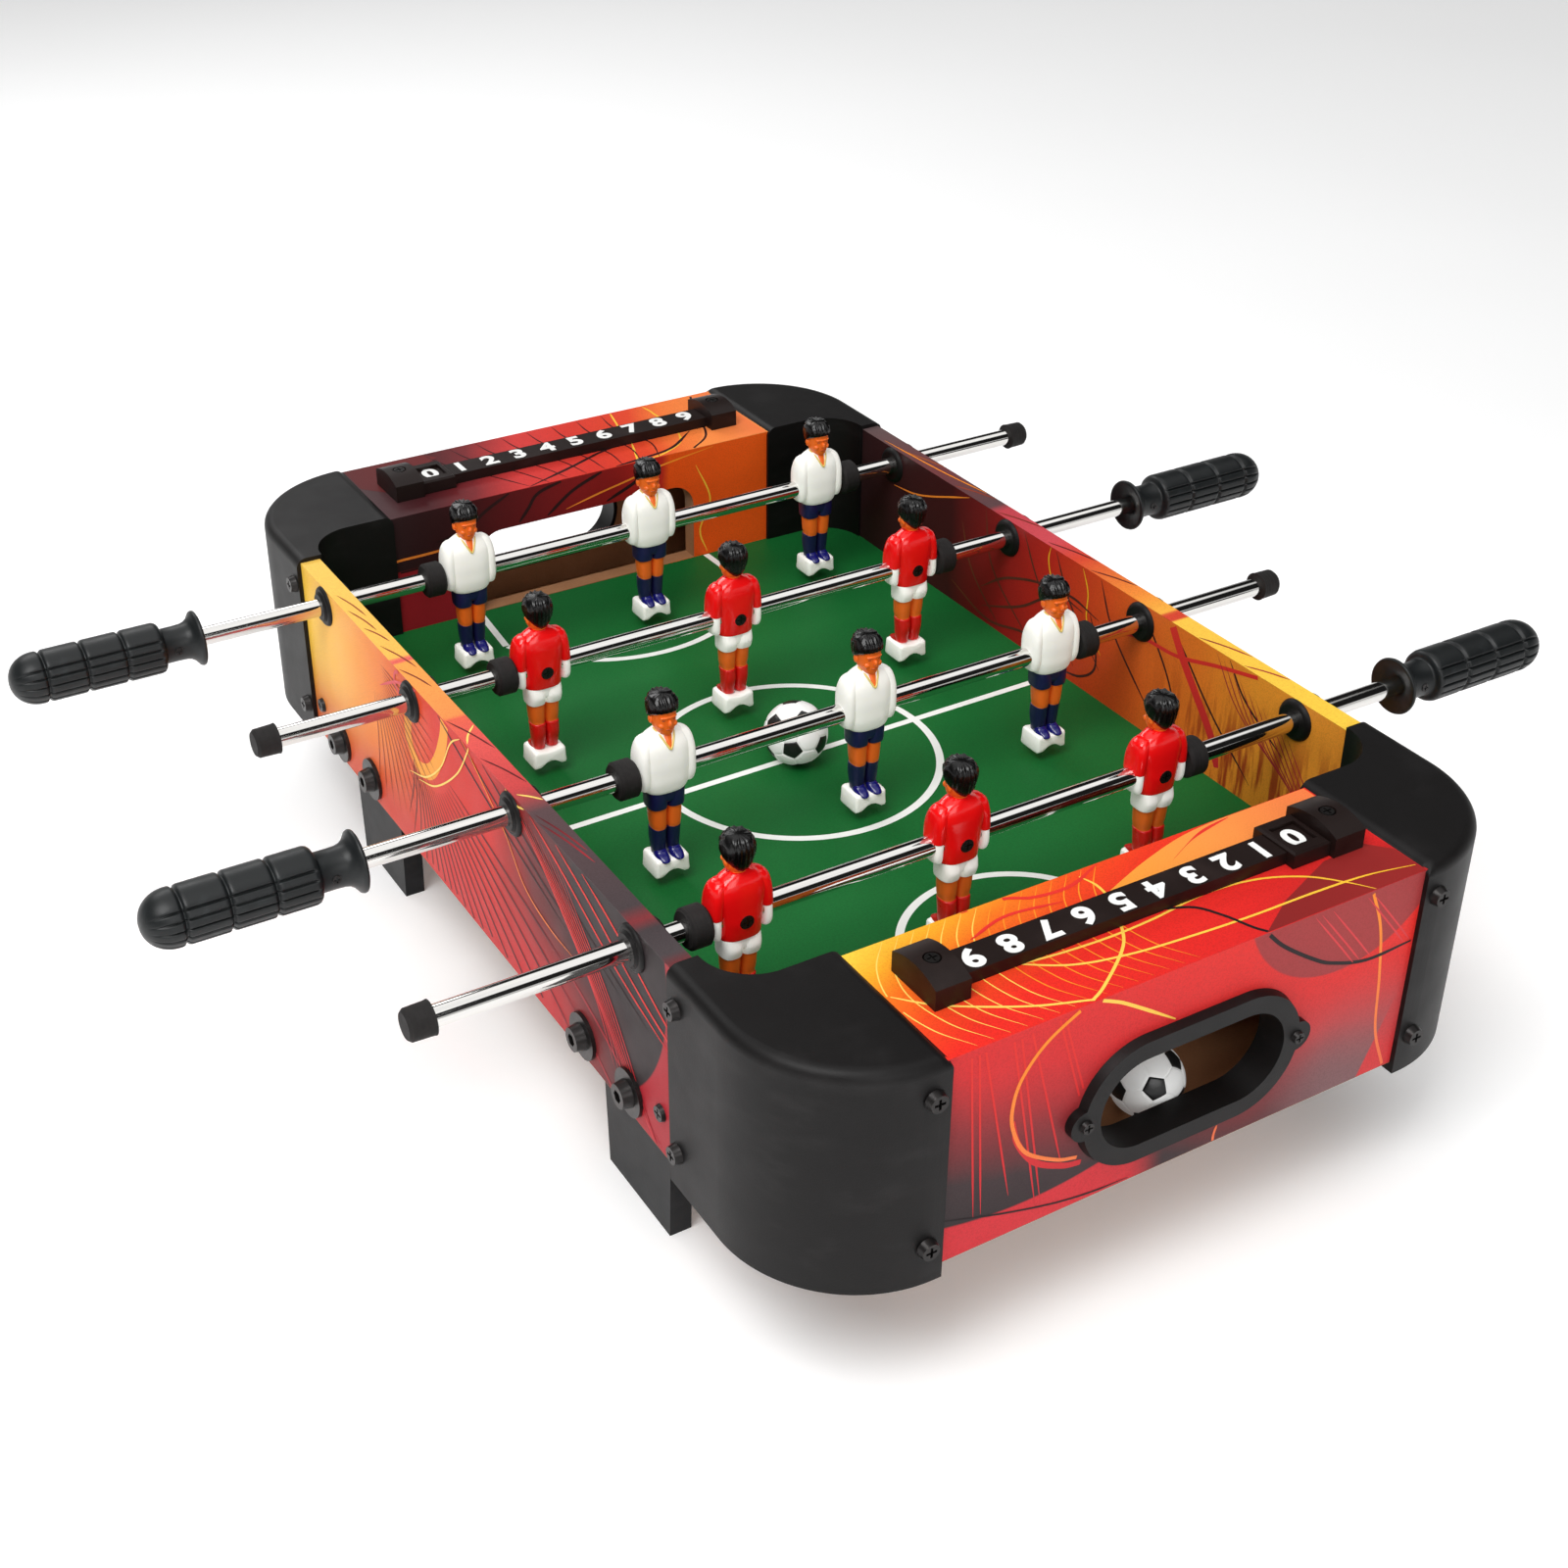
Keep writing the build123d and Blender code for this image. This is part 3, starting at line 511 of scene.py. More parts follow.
def hair(clay, mat, back_low):
    """Cap of combed strands with a lip over the forehead."""
    around, rows = 96, []
    steps = [0.0, 0.0, 0.06, 0.16, 0.3, 0.45, 0.6, 0.74, 0.86, 0.95]
    for j, f in enumerate(steps):
        row = []
        for k in range(around):
            t = 2 * math.pi * k / around
            c, s = math.cos(t), math.sin(t)
            front, back = max(0.0, -s), max(0.0, s)
            low = 24.6 + 2.8 * front ** 0.7 + (back_low - 24.6) * back ** 1.6
            z = low + (32.6 - low) * f
            a, b, cy = head_size(z)
            lift = (0.0, 0.75, 0.95, 1.05, 1.1, 1.1, 1.05, 1.0, 1.0, 1.0)[j]
            taper = 1.0 - 0.28 * back * max(0.0, min(1.0, (23.5 - z) / 5.0))
            x, y = c * (a + lift) * taper, cy + s * (b + lift)
            comb = math.sin(x * 3.6 + 1.2 * math.sin(y * 0.55 + 0.7)) + 0.4 * math.sin(x * 7.1 + y)
            grow = 0.24 * comb * (0.0 if j == 0 else min(1.0, 0.35 + f))
            r = math.hypot(x, y - cy) or 1.0
            row.append((x + grow * x / r, y + grow * (y - cy) / r,
                z + (0.8 * lift if f > 0.9 else 0.25 * lift)
                + (0.18 * comb if f > 0.4 else 0)))
        rows.append(row)
    clay.rings(rows, mat)


def figure(name, mats, white):
    """mats: block, shoe, sock, skin, shorts, shirt, forearm, hair, collar, painted shade of the face."""
    block, shoe, sock, skin, shorts, shirt, forearm, hairs, collar, shade = range(10)
    clay = Clay(36)

    # kicking block: arched below, dished on top, rounded edges
    outline = [(-7.3, -46.1), (-5.4, -46.1), (-4.4, -45.2), (-2.4, -43.9), (0, -43.4), (2.4, -43.9),
        (4.4, -45.2), (5.4, -46.1), (7.3, -46.1), (7.7, -45.2), (7.4, -42.0), (7.3, -39.0), (6.8, -38.2),
        (5.4, -37.9), (2.6, -38.4), (0, -38.7), (-2.6, -38.4), (-5.4, -37.9), (-6.8, -38.2), (-7.3, -39.0),
        (-7.4, -42.0), (-7.7, -45.2)]
    rows = []
    for y, inset in ((-6.9, 1.2), (-6.6, 0.6), (-5.9, 0.1), (-4.5, 0), (3.6, 0), (5.0, 0.1), (5.7, 0.6),
        (6.0, 1.2)):
        rows.append([(x * (1 - inset / 7.5), y, -42.2 + (z + 42.2) * (1 - inset / 4.6)) for x, z in outline])
    clay.rings(rows[::-1], block)

    for s in (-1, 1):
        # shoe, sock, thigh and trouser leg
        clay.stack([(-39.4, 2.2, 4.4, s * 3.1, -3.0), (-38.6, 2.7, 5.1, s * 3.1, -2.8),
            (-37.4, 2.6, 4.4, s * 3.1, -2.1),
            (-36.2, 2.5, 3.2, s * 3.0, -0.9), (-35.4, 2.4, 2.9, s * 3.0, -0.4)], shoe, 2.2)
        clay.stack([(-37.8, 2.5, 3.0, s * 3.0, 0.3), (-35.6, 2.7, 3.2, s * 3.0, 0.3),
            (-31.0, 3.0, 3.9, s * 3.05, 0.6), (-27.4, 3.1, 4.0, s * 3.1, 0.4),
            (-25.9, 3.15, 4.0, s * 3.1, 0.2), (-25.4, 2.6, 3.4, s * 3.1, 0.2)], sock)
        clay.stack([(-26.4, 2.8, 3.7, s * 3.1, 0.1), (-24.6, 3.0, 3.9, s * 3.1, -0.1),
            (-22.6, 3.2, 4.1, s * 3.2, 0.0),
            (-18.0, 3.3, 4.4, s * 3.3, 0.1), (-13.5, 3.3, 4.4, s * 3.4, 0.1)], skin)
        back = 0.5 if white else 1.1
        clay.stack([(-15.6, 3.3, 4.3, s * 3.5, 0.1), (-15.9, 3.7, 4.8, s * 3.6, 0.1),
            (-15.2, 3.95, 5.2, s * 3.7, 0.2),
            (-12.0, 4.0, 5.2 + back / 2, s * 3.75, back / 2), (-8.6, 4.1, 5.2, s * 3.8, 0.2),
            (-6.0, 3.6, 4.6, s * 3.6, 0.0)], shorts, 2.8)
    clay.stack([(-13.2, 5.4, 4.2, 0, 0), (-12.0, 6.6, 5.0, 0, 0.1), (-8.5, 7.4, 5.2, 0, 0.1),
        (-5.5, 7.2, 5.0, 0, 0)],
        shorts, 3.0)

    def folds(dx, dy, z, t):
        """Slight waves in the cloth, weaker near the shoulders."""
        swell = 0.18 * math.sin(z * 0.9 + 2.2 * math.sin(t)) * (1 if z < 9 else 0.3)
        return dx * (1 + 0.012 * swell), dy * (1 + 0.03 * swell)

    # shirt
    if white:
        clay.stack([(-8.6, 6.6, 4.4, 0, 0), (-8.3, 8.0, 5.6, 0, 0), (-6.6, 9.2, 6.5, 0, 0),
            (-3.0, 10.0, 7.0, 0, -0.1), (2.0, 10.4, 7.1, 0, -0.1), (7.0, 10.7, 6.9, 0, -0.1),
            (11.5, 10.6, 6.3, 0, 0.0), (14.4, 9.4, 5.4, 0, 0.1), (16.4, 7.4, 4.4, 0, 0.2),
            (17.8, 4.8, 3.7, 0, 0.2), (18.4, 3.6, 3.3, 0, 0.1)], shirt, 2.7, shape=folds)
        for s in (-1, 1):
            clay.stack([(-6.4, 1.6, 3.2, s * 9.0, 0), (-5.6, 2.4, 4.6, s * 9.4, 0),
                (-2.0, 2.8, 5.6, s * 9.7, -0.2),
                (3.0, 2.7, 5.8, s * 9.8, -0.2), (8.0, 2.8, 5.6, s * 9.7, -0.1), (12.0, 3.0, 4.8, s * 9.0, 0),
                (14.8, 3.0, 3.8, s * 8.0, 0.1), (16.2, 2.2, 2.7, s * 7.2, 0.1)], shirt, 2.4)
    else:
        clay.stack([(-7.6, 6.8, 4.8, 0, 0), (-7.9, 7.8, 5.7, 0, 0), (-7.2, 8.2, 6.1, 0, 0),
            (-3.0, 8.4, 6.6, 0, 0.1), (1.5, 8.9, 6.8, 0, 0.1), (6.0, 9.6, 6.7, 0, 0.1),
            (10.5, 10.2, 6.4, 0, 0.2), (14.2, 9.2, 5.5, 0, 0.3), (16.4, 7.2, 4.5, 0, 0.3),
            (17.8, 4.7, 3.8, 0, 0.2), (18.5, 3.5, 3.3, 0, 0.1)], shirt, 2.7, shape=folds)
        for s in (-1, 1):
            clay.stack([(2.6, 2.1, 4.6, s * 10.1, 0), (2.3, 2.6, 5.1, s * 10.1, 0),
                (3.0, 2.8, 5.3, s * 10.0, 0),
                (7.0, 2.8, 5.4, s * 9.8, 0), (11.0, 3.0, 5.0, s * 9.2, 0.1), (14.4, 3.1, 4.0, s * 8.2, 0.2),
                (16.2, 2.2, 2.8, s * 7.2, 0.2)], shirt, 2.4)
            clay.stack([(-6.9, 1.0, 2.8, s * 9.6, 0), (-6.2, 1.9, 4.2, s * 9.9, 0),
                (-4.0, 2.3, 5.0, s * 10.2, 0),
                (0.0, 2.3, 5.2, s * 10.2, 0), (3.4, 2.2, 4.9, s * 10.1, 0)], forearm, 2.4)
        # shoulder seam across the back
        seam = [(x, 5.75 - 0.018 * x * x - 0.35 * max(0, abs(x) - 7), 13.0 - 0.02 * x * x)
            for x in range(-9, 10)]
        clay.tube(seam, 0.35, shirt)

    # open collar, neck and head
    clay.stack([(11.9, 0.3, 0.5, 0, -5.95), (13.0, 1.0, 1.2, 0, -4.95), (14.6, 1.9, 1.6, 0, -3.95),
        (16.2, 2.7, 1.9, 0, -2.75), (17.6, 3.2, 2.2, 0, -1.6), (18.6, 3.2, 2.4, 0, -1.0)], skin, 2.0)
    trim = [(-3.7, 0.6, 18.7), (-3.5, -1.6, 18.0), (-2.8, -3.9, 16.6), (-1.5, -5.6, 14.0), (0, -6.75, 11.7),
        (1.5, -5.6, 14.0), (2.8, -3.9, 16.6), (3.5, -1.6, 18.0), (3.7, 0.6, 18.7)]
    clay.tube(spline(trim, 0.25), 0.42, collar)
    clay.stack([(15.0, 3.2, 3.2, 0, 0), (18.0, 3.2, 3.3, 0, 0), (20.5, 3.3, 3.4, 0, 0)], skin, 2.0)
    clay.stack(HEAD, skin, 2.15)
    clay.ball((0, -6.0, 22.6), (0.85, 1.25, 1.5), skin)
    clay.ball((0, -5.0, 25.2), (3.6, 1.35, 0.75), skin)
    # painted shade: darker orange at the mouth and in the eye sockets under the brow
    clay.ball((0, -5.3, 19.9), (1.5, 0.8, 0.42), shade)
    for s in (-1, 1):
        clay.ball((s * 1.9, -5.15, 24.0), (0.95, 0.55, 0.42), shade)
        clay.ball((s * 2.6, -4.2, 21.4), (1.5, 1.3, 1.4), skin)
        clay.ball((s * 4.9, 0.6, 23.0), (0.7, 1.3, 1.8), skin)
    hair(clay, hairs, 19.4 if not white else 20.4)
    # dark disc in the back: painted shade at the bottom of the cross recess in the set screw
    clay.ball((0, 6.55 if white else 6.35, 0), (3.4, 0.6 if white else 0.75, 3.4), hairs)
    return new_object(name, clay.verts, clay.faces, mats, clay.mats)


def figure_materials(team):
    white = team == "white"
    skin = plastic(f"{team}_skin", rgb(255, 116, 34), (0.26, 0.38), 0.1, 0.02, 7.0)
    # painted glow: the cream parts emit a little light of their own colour (strength 0.1), so the whites stay
    # bright in shade
    cream_painted_glow = plastic(f"{team}_white", rgb(255, 255, 248), (0.22, 0.32), 0.03, 0.015, 12.0,
        Emission_Color=rgb(255, 255, 248), Emission_Strength=0.1)
    return [
        cream_painted_glow,
        plastic("Blue_shoe", rgb(22, 24, 116), (0.12, 0.2), 0.2) if white
        else plastic("Red_shoe", rgb(196, 22, 20), (0.2, 0.3)),
        plastic("Navy_sock", rgb(24, 24, 74), (0.32, 0.42), 0.2) if white
        else plastic("Red_sock", rgb(222, 22, 20), (0.24, 0.34)),
        skin,
        plastic("Navy_shorts", rgb(24, 24, 76), (0.3, 0.4), 0.2) if white else cream_painted_glow,
        cream_painted_glow if white else plastic("Red_shirt", rgb(248, 18, 20), (0.13, 0.22), 0.1),
        cream_painted_glow,
        plastic(f"{team}_hair", rgb(9, 8, 8), (0.2, 0.32), 0.3, Specular_IOR_Level=0.4),
        plastic(f"{team}_collar", rgb(240, 214, 120) if white else rgb(210, 24, 20), (0.28, 0.38)),
        plastic(f"{team}_face_shade", rgb(196, 84, 30), (0.3, 0.4)),
    ]


def rod_place(rod):
    """(middle of the rod, which side its handle is on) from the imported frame."""
    low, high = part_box(f"{rod}_player_middle")
    handle_low, handle_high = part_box(f"{rod}_handle")
    side = -1 if (handle_low + handle_high).x < 0 else 1
    return ((low.x + high.x) / 2 / MM, joints[f"{rod}_spin"]["pos_m"][1] / MM, ROD_Z), side


white_figure = figure("white_player_master", figure_materials("white"), True)
red_figure = figure("red_player_master", figure_materials("red"), False)
for rod in RODS:
    (x, y, z), _ = rod_place(rod)
    white = rod in WHITE_RODS
    for place in ("left", "middle", "right"):
        node = f"{rod}_player_{place}"
        low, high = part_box(node)
        piece = instance(
            f"{rod}_figure_{place}", white_figure if white else red_figure,
            ((low.x + high.x) / 2 / MM, y, z), 0.0 if white else math.pi)
        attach(piece, f"{rod}_spin")
        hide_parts(node)
for master in (white_figure, red_figure):
    bpy.data.objects.remove(master)


# ---------------------------------------------------------------- handles
# Local space: rod axis along X, the handle on +X, the smooth land on top.

GRIP_START, DOME = 233.5, 285.6
HANDLE = [  # distance from the middle of the rod, radius
    (220.0, 4.02), (218.6, 5.2), (217.8, 7.6), (217.1, 10.4), (217.05, 11.3), (217.3, 11.8), (217.9, 12.0),
    (218.7, 11.7), (219.5, 10.6), (220.5, 9.3), (222.1, 8.2), (224.0, 7.7), (227.5, 7.55), (232.6, 7.6),
    (233.3, 7.9), (233.5, 8.9), (233.8, 9.9), (234.5, 10.6), (235.4, 10.9)]
RING_GROOVES = (250.0, 266.5, 283.0)


def handle_rows():
    rows = list(HANDLE)
    u = GRIP_START + 2.5
    while u < DOME:
        rows.append((u, 11.0))
        near = min(abs(u - g) for g in RING_GROOVES)
        u += 0.28 if near < 1.3 else 0.7
    for k in range(0, 17):
        t = k / 16 * math.pi / 2
        rows.append((DOME + 11.4 * math.sin(t), max(0.05, 11.0 * math.cos(t) ** 0.92)))
    return rows


def build_handle():
    around, verts = 240, []
    rows = handle_rows()
    for u, radius in rows:
        in_grip = min(1.0, max(0.0, (u - GRIP_START - 1.5) / 1.2))
        groove = min(abs(u - g) for g in RING_GROOVES)
        ring = math.exp(-(groove / 0.75) ** 2) if u > GRIP_START + 2 else 0.0
        soft = min(1.0, groove / 2.2) if u > GRIP_START + 1.5 else 1.0
        for k in range(around):
            t = 2 * math.pi * k / around
            from_top = abs((math.degrees(t) - 90 + 180) % 360 - 180)
            from_land = min(from_top, 180 - from_top)
            ribs = max(0.0, min(1.0, (from_land - 44.0) / 3.0))
            phase = (from_land - 50.0) / 20.0
            valley = max(0.0, math.cos(2 * math.pi * phase)) ** 5
            r = radius
            if u > GRIP_START:
                fade = 1.0 if u < DOME else max(0.0, 1.0 - (u - DOME) / 9.5)
                r -= in_grip * ribs * fade * (0.12 + 1.5 * valley) * (0.55 + 0.45 * soft)
                r -= 1.15 * ring * in_grip
            r = max(0.04, r)
            verts.append((u, r * math.cos(t), r * math.sin(t)))
    faces = []
    for i in range(len(rows) - 1):
        for k in range(around):
            a, b = i * around + k, i * around + (k + 1) % around
            faces.append((a, b, b + around, a + around))
    last = (len(rows) - 1) * around
    faces.append(tuple(last + k for k in range(around)))
    faces.append(tuple(reversed(range(around))))
    return verts, faces


def handle_material():
    paint = Paint("Handle_moulding", Specular_IOR_Level=0.35)
    dust = paint.smooth(paint.noise(9.0, 5.0), 0.55, 0.85)
    paint.colour(paint.mix(paint.times(dust, 0.6), rgb(18, 21, 22), rgb(44, 49, 51)))
    paint.rough(0.34, 0.5, 5.0)
    return paint.bump(paint.noise(0.7, 3.0), 0.03).done()


verts, faces = build_handle()
handle_master = new_object("handle_master", verts, faces, [handle_material()])
for rod in RODS:
    place, side = rod_place(rod)
    piece = instance(f"{rod}_grip", handle_master, place, 0.0 if side > 0 else math.pi)
    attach(piece, f"{rod}_spin")
    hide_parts(f"{rod}_handle")
bpy.data.objects.remove(handle_master)


# ---------------------------------------------------------------- balls

GOLDEN = (1 + 5 ** 0.5) / 2
PENTAGONS = [Vector(v).normalized() for v in ((0, 1, GOLDEN), (0, -1, GOLDEN), (1, GOLDEN, 0),
    (-1, GOLDEN, 0),
    (GOLDEN, 0, 1), (-GOLDEN, 0, 1))]
HEXAGONS = [Vector(v).normalized() for v in (
    (1, 1, 1), (-1, 1, 1), (1, -1, 1), (1, 1, -1), (1 / GOLDEN, 0, GOLDEN), (-1 / GOLDEN, 0, GOLDEN),
    (0, GOLDEN, 1 / GOLDEN), (0, GOLDEN, -1 / GOLDEN), (GOLDEN, 1 / GOLDEN, 0), (GOLDEN, -1 / GOLDEN, 0))]
PENTAGON_REACH, HEXAGON_REACH = 2.327, 2.267


def ball_material():
    paint = Paint("Ball_print")
    unit = paint.vector("NORMALIZE", paint.point)

    def nearest(directions, reach):
        best = None
        for d in directions:
            close = paint.math("ABSOLUTE", paint.vector("DOT_PRODUCT", unit, tuple(c / reach for c in d)))
            best = close if best is None else paint.math("MAXIMUM", best, close)
        return best

    gap = paint.math("SUBTRACT", nearest(PENTAGONS, PENTAGON_REACH), nearest(HEXAGONS, HEXAGON_REACH))
    white = paint.mix(paint.noise(6.0, 3.0), rgb(232, 232, 230), rgb(250, 250, 248))
    black = paint.mix(paint.noise(2.0, 3.0), rgb(18, 18, 18), rgb(34, 33, 33))
    print_colour = paint.mix(paint.smooth(gap, 0.001, 0.004), white, black)
    paint.colour(print_colour)
    # painted glow: the print also emits its own colour at 0.14, so the ball stays bright where it lies in shade
    paint.put(paint.bsdf.inputs["Emission Color"], print_colour)
    paint.bsdf.inputs["Emission Strength"].default_value = 0.14
    paint.rough(0.26, 0.36, 5.0)
    return paint.bump(paint.noise(0.8, 3.0), 0.03).done()


def ball_mesh(radius):
    """Fine sphere with soft seams along the panels of a football."""
    rows, around = 120, 220
    centres = np.array([list(v) for v in PENTAGONS + [-v for v in PENTAGONS]]) / PENTAGON_REACH
    hexes = np.array([list(v) for v in HEXAGONS + [-v for v in HEXAGONS]]) / HEXAGON_REACH
    verts = []
    for i in range(rows + 1):
        lat = math.pi * (i / rows - 0.5)
        lat = max(-math.pi / 2 + 0.002, min(math.pi / 2 - 0.002, lat))
        for k in range(around):
            lon = 2 * math.pi * k / around
            verts.append((math.cos(lat) * math.cos(lon), math.cos(lat) * math.sin(lon), math.sin(lat)))
    points = np.array(verts)
    scores = np.sort(np.hstack([points @ centres.T, points @ hexes.T]), axis=1)
    seam = np.exp(-(((scores[:, -1] - scores[:, -2]) / 0.0075) ** 2))
    points = points * (radius - 0.32 * seam)[:, None]
    faces = [(i * around + k, i * around + (k + 1) % around, (i + 1) * around + (k + 1) % around,
        (i + 1) * around + k)
        for i in range(rows) for k in range(around)]
    faces.append(tuple(reversed(range(around))))
    faces.append(tuple(rows * around + k for k in range(around)))
    return [tuple(p) for p in points], faces


def turned(first, second):
    """Rotation that brings two neighbouring pentagons to these directions."""
    def basis(a, b):
        a = Vector(a).normalized()
        c = a.cross(Vector(b)).normalized()
        return Matrix((a, c.cross(a), c)).transposed()
    return basis(first, second) @ basis(PENTAGONS[0], PENTAGONS[1]).transposed()


# directions of the first view, in which the balls' panels were placed
RIGHT = Vector((0.8628, -0.5055, 0))
UP = Vector((0.2552, 0.4355, 0.8632))
BACK = Vector((-0.4364, -0.7448, 0.5048))
ball_mat = ball_material()
for node, first, second in (
        ("ball_field", -0.13 * RIGHT - 0.55 * UP + 0.83 * BACK, -0.73 * RIGHT + 0.3 * UP + 0.61 * BACK),
        ("ball_box", 0.06 * RIGHT - 0.08 * UP + 0.99 * BACK, 0.66 * RIGHT + 0.61 * UP + 0.44 * BACK)):
    low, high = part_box(node)
    radius = (high.x - low.x) / 2 / MM
    verts, faces = ball_mesh(radius)
    ball = new_object(f"{node}_print", verts, faces, [ball_mat])
    ball.matrix_world = Matrix.Translation((low + high) / 2) @ turned(first, second).to_4x4()
    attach(ball, node)
    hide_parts(node)


# ---------------------------------------------------------------- printed lines
# A panel turns its own (u, v) millimetres into a point h above the board.

ALONG, ACROSS = (-172, 172), (-101, 101)  # printed lengths of the side boards and of the end boxes
OUTER, INNER = (PRINT_FOOT, 140.8), (82.0, 140.8)  # printed heights outside and over the field
PANELS = {
    # name: (point, outward direction, u range, v range)
    "left_out": (lambda u, v, h: (-SIDE_OUT - h, u, v), (-1, 0, 0), ALONG, OUTER),
    "left_top": (lambda u, v, h: (v, u, BOARD_TOP + h), (0, 0, 1), ALONG, (-153.3, -144.7)),
    "right_in": (lambda u, v, h: (SIDE_IN - h, u, v), (-1, 0, 0), ALONG, INNER),
    "right_top": (lambda u, v, h: (v, u, BOARD_TOP + h), (0, 0, 1), ALONG, (144.7, 153.3)),
    "near_top": (lambda u, v, h: (u, v, BOARD_TOP + h), (0, 0, 1), ACROSS, (-254.8, -193.7)),
    "near_front": (lambda u, v, h: (u, -END_OUT - h, v), (0, -1, 0), ACROSS, OUTER),
    "far_top": (lambda u, v, h: (u, v, BOARD_TOP + h), (0, 0, 1), ACROSS, (193.7, 254.8)),
    "far_wall": (lambda u, v, h: (u, WALL_IN - h, v), (0, -1, 0), ACROSS, INNER),
    "field": (lambda u, v, h: (u, v, FIELD_TOP + h), (0, 0, 1), (-144.4, 144.4), (-193.4, 193.4)),
}

ROD_PLACES = [joints[f"{rod}_spin"]["pos_m"][1] / MM for rod in RODS]
BUSH_CLEAR = 6.5  # printed strokes stop under the bushes' flanges, short of the rods
RETURN_Z, RETURN_HALF_STRAIGHT, RETURN_CLEAR = 92.0, 21.5, 27.0  # slot of the ball return, with its ring
EAR_U, EAR_CLEAR = 46.2, 6.6  # the ring's screws
GOAL_HALF, GOAL_TOP = 59.5, 123.5


def clear_of_holes(panel, u, v):
    if panel == "near_front":
        across, up = max(0.0, abs(u) - RETURN_HALF_STRAIGHT), v - RETURN_Z
        return math.hypot(across, up) > RETURN_CLEAR and math.hypot(abs(u) - EAR_U, up) > EAR_CLEAR
    if panel == "far_wall":
        return abs(u) >= GOAL_HALF or v >= GOAL_TOP
    if panel in ("left_out", "right_in"):
        return all(math.hypot(u - y, v - ROD_Z) > BUSH_CLEAR for y in ROD_PLACES)
    return True


FIRST_LAYER, LAYER_STEP = 0.03, 0.0035  # each printed shape lies a step above the one before


class Print:
    """All the thin printed shapes of one panel, in one mesh that lies on the board."""

    def __init__(self, name, panel, inks):
        self.name, self.panel, self.inks = name, panel, inks
        self.place, self.out, (self.u0, self.u1), (self.v0, self.v1) = PANELS[panel]
        self.verts, self.faces, self.mats = [], [], []
        self.layer = 0

    def _face(self, pts, mat):
        h = FIRST_LAYER + LAYER_STEP * self.layer
        pts = [Vector(self.place(u, v, h)) for u, v in pts]
        normal = (pts[1] - pts[0]).cross(pts[2] - pts[0])
        if normal.dot(Vector(self.out)) < 0:
            pts.reverse()
        first = len(self.verts)
        self.verts.extend(tuple(p) for p in pts)
        self.faces.append(tuple(range(first, first + len(pts))))
        self.mats.append(mat)

    def inside(self, u, v):
        return self.u0 <= u <= self.u1 and self.v0 <= v <= self.v1 and clear_of_holes(self.panel, u, v)

    def line(self, points, width, mat, taper=(0.25, 0.25), step=0.08):
        """Smooth stroke; taper is the share of the width left at each end."""
        self.layer += 1
        path = spline(points, step)
        n = len(path)
        edge = []
        for i, p in enumerate(path):
            ahead = path[min(i + 1, n - 1)] - path[max(i - 1, 0)]
            side = np.array((-ahead[1], ahead[0])) / (np.linalg.norm(ahead) or 1.0)
            t = i / (n - 1)
            w = width / 2 * min(1.0, taper[0] + 4 * t, taper[1] + 4 * (1 - t))
            edge.append((p + side * w, p - side * w))
        for (a, b), (c, d) in zip(edge, edge[1:]):
            quad = (a, b, d, c)
            if all(self.inside(*q) for q in quad):
                self._face([tuple(q) for q in quad], mat)

    def lines(self, *rows):
        for row in rows:
            self.line(*row)

    def shape(self, points, mat, smooth=True):
        """Filled outline, cut off at the panel's edges."""
        self.layer += 1
        loop = spline([*points, points[0]], 0.12)[:-1] if smooth else [np.array(p, float) for p in points]
        loop = [np.array((min(self.u1, max(self.u0, p[0])), min(self.v1, max(self.v0, p[1])))) for p in loop]
        tidy = [loop[0]]
        for p in loop[1:]:
            if np.linalg.norm(p - tidy[-1]) > 0.05:
                tidy.append(p)
        flat = [Vector((p[0], p[1], 0)) for p in tidy]
        for tri in tessellate_polygon([flat]):
            corners = [tuple(tidy[k]) for k in tri]
            (ax, ay), (bx, by), (cx, cy) = corners
            if abs((bx - ax) * (cy - ay) - (by - ay) * (cx - ax)) > 0.01:
                self._face(corners, mat)

    def done(self, slot_name):
        obj = new_object(self.name, self.verts, self.faces, self.inks, self.mats, smooth=False)
        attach(obj, "table")
        return obj


def arc(cx, cy, r, start, end, count):
    """Points on an arc between two angles in degrees."""
    angles = [math.radians(start + (end - start) * k / count) for k in range(count + 1)]
    return [(cx + r * math.cos(a), cy + r * math.sin(a)) for a in angles]


def bowed(a, b):
    """Slightly bent path across a board's edge."""
    return [a, ((a[0] + b[0]) / 2, (a[1] + b[1]) / 2 + 0.6), b]


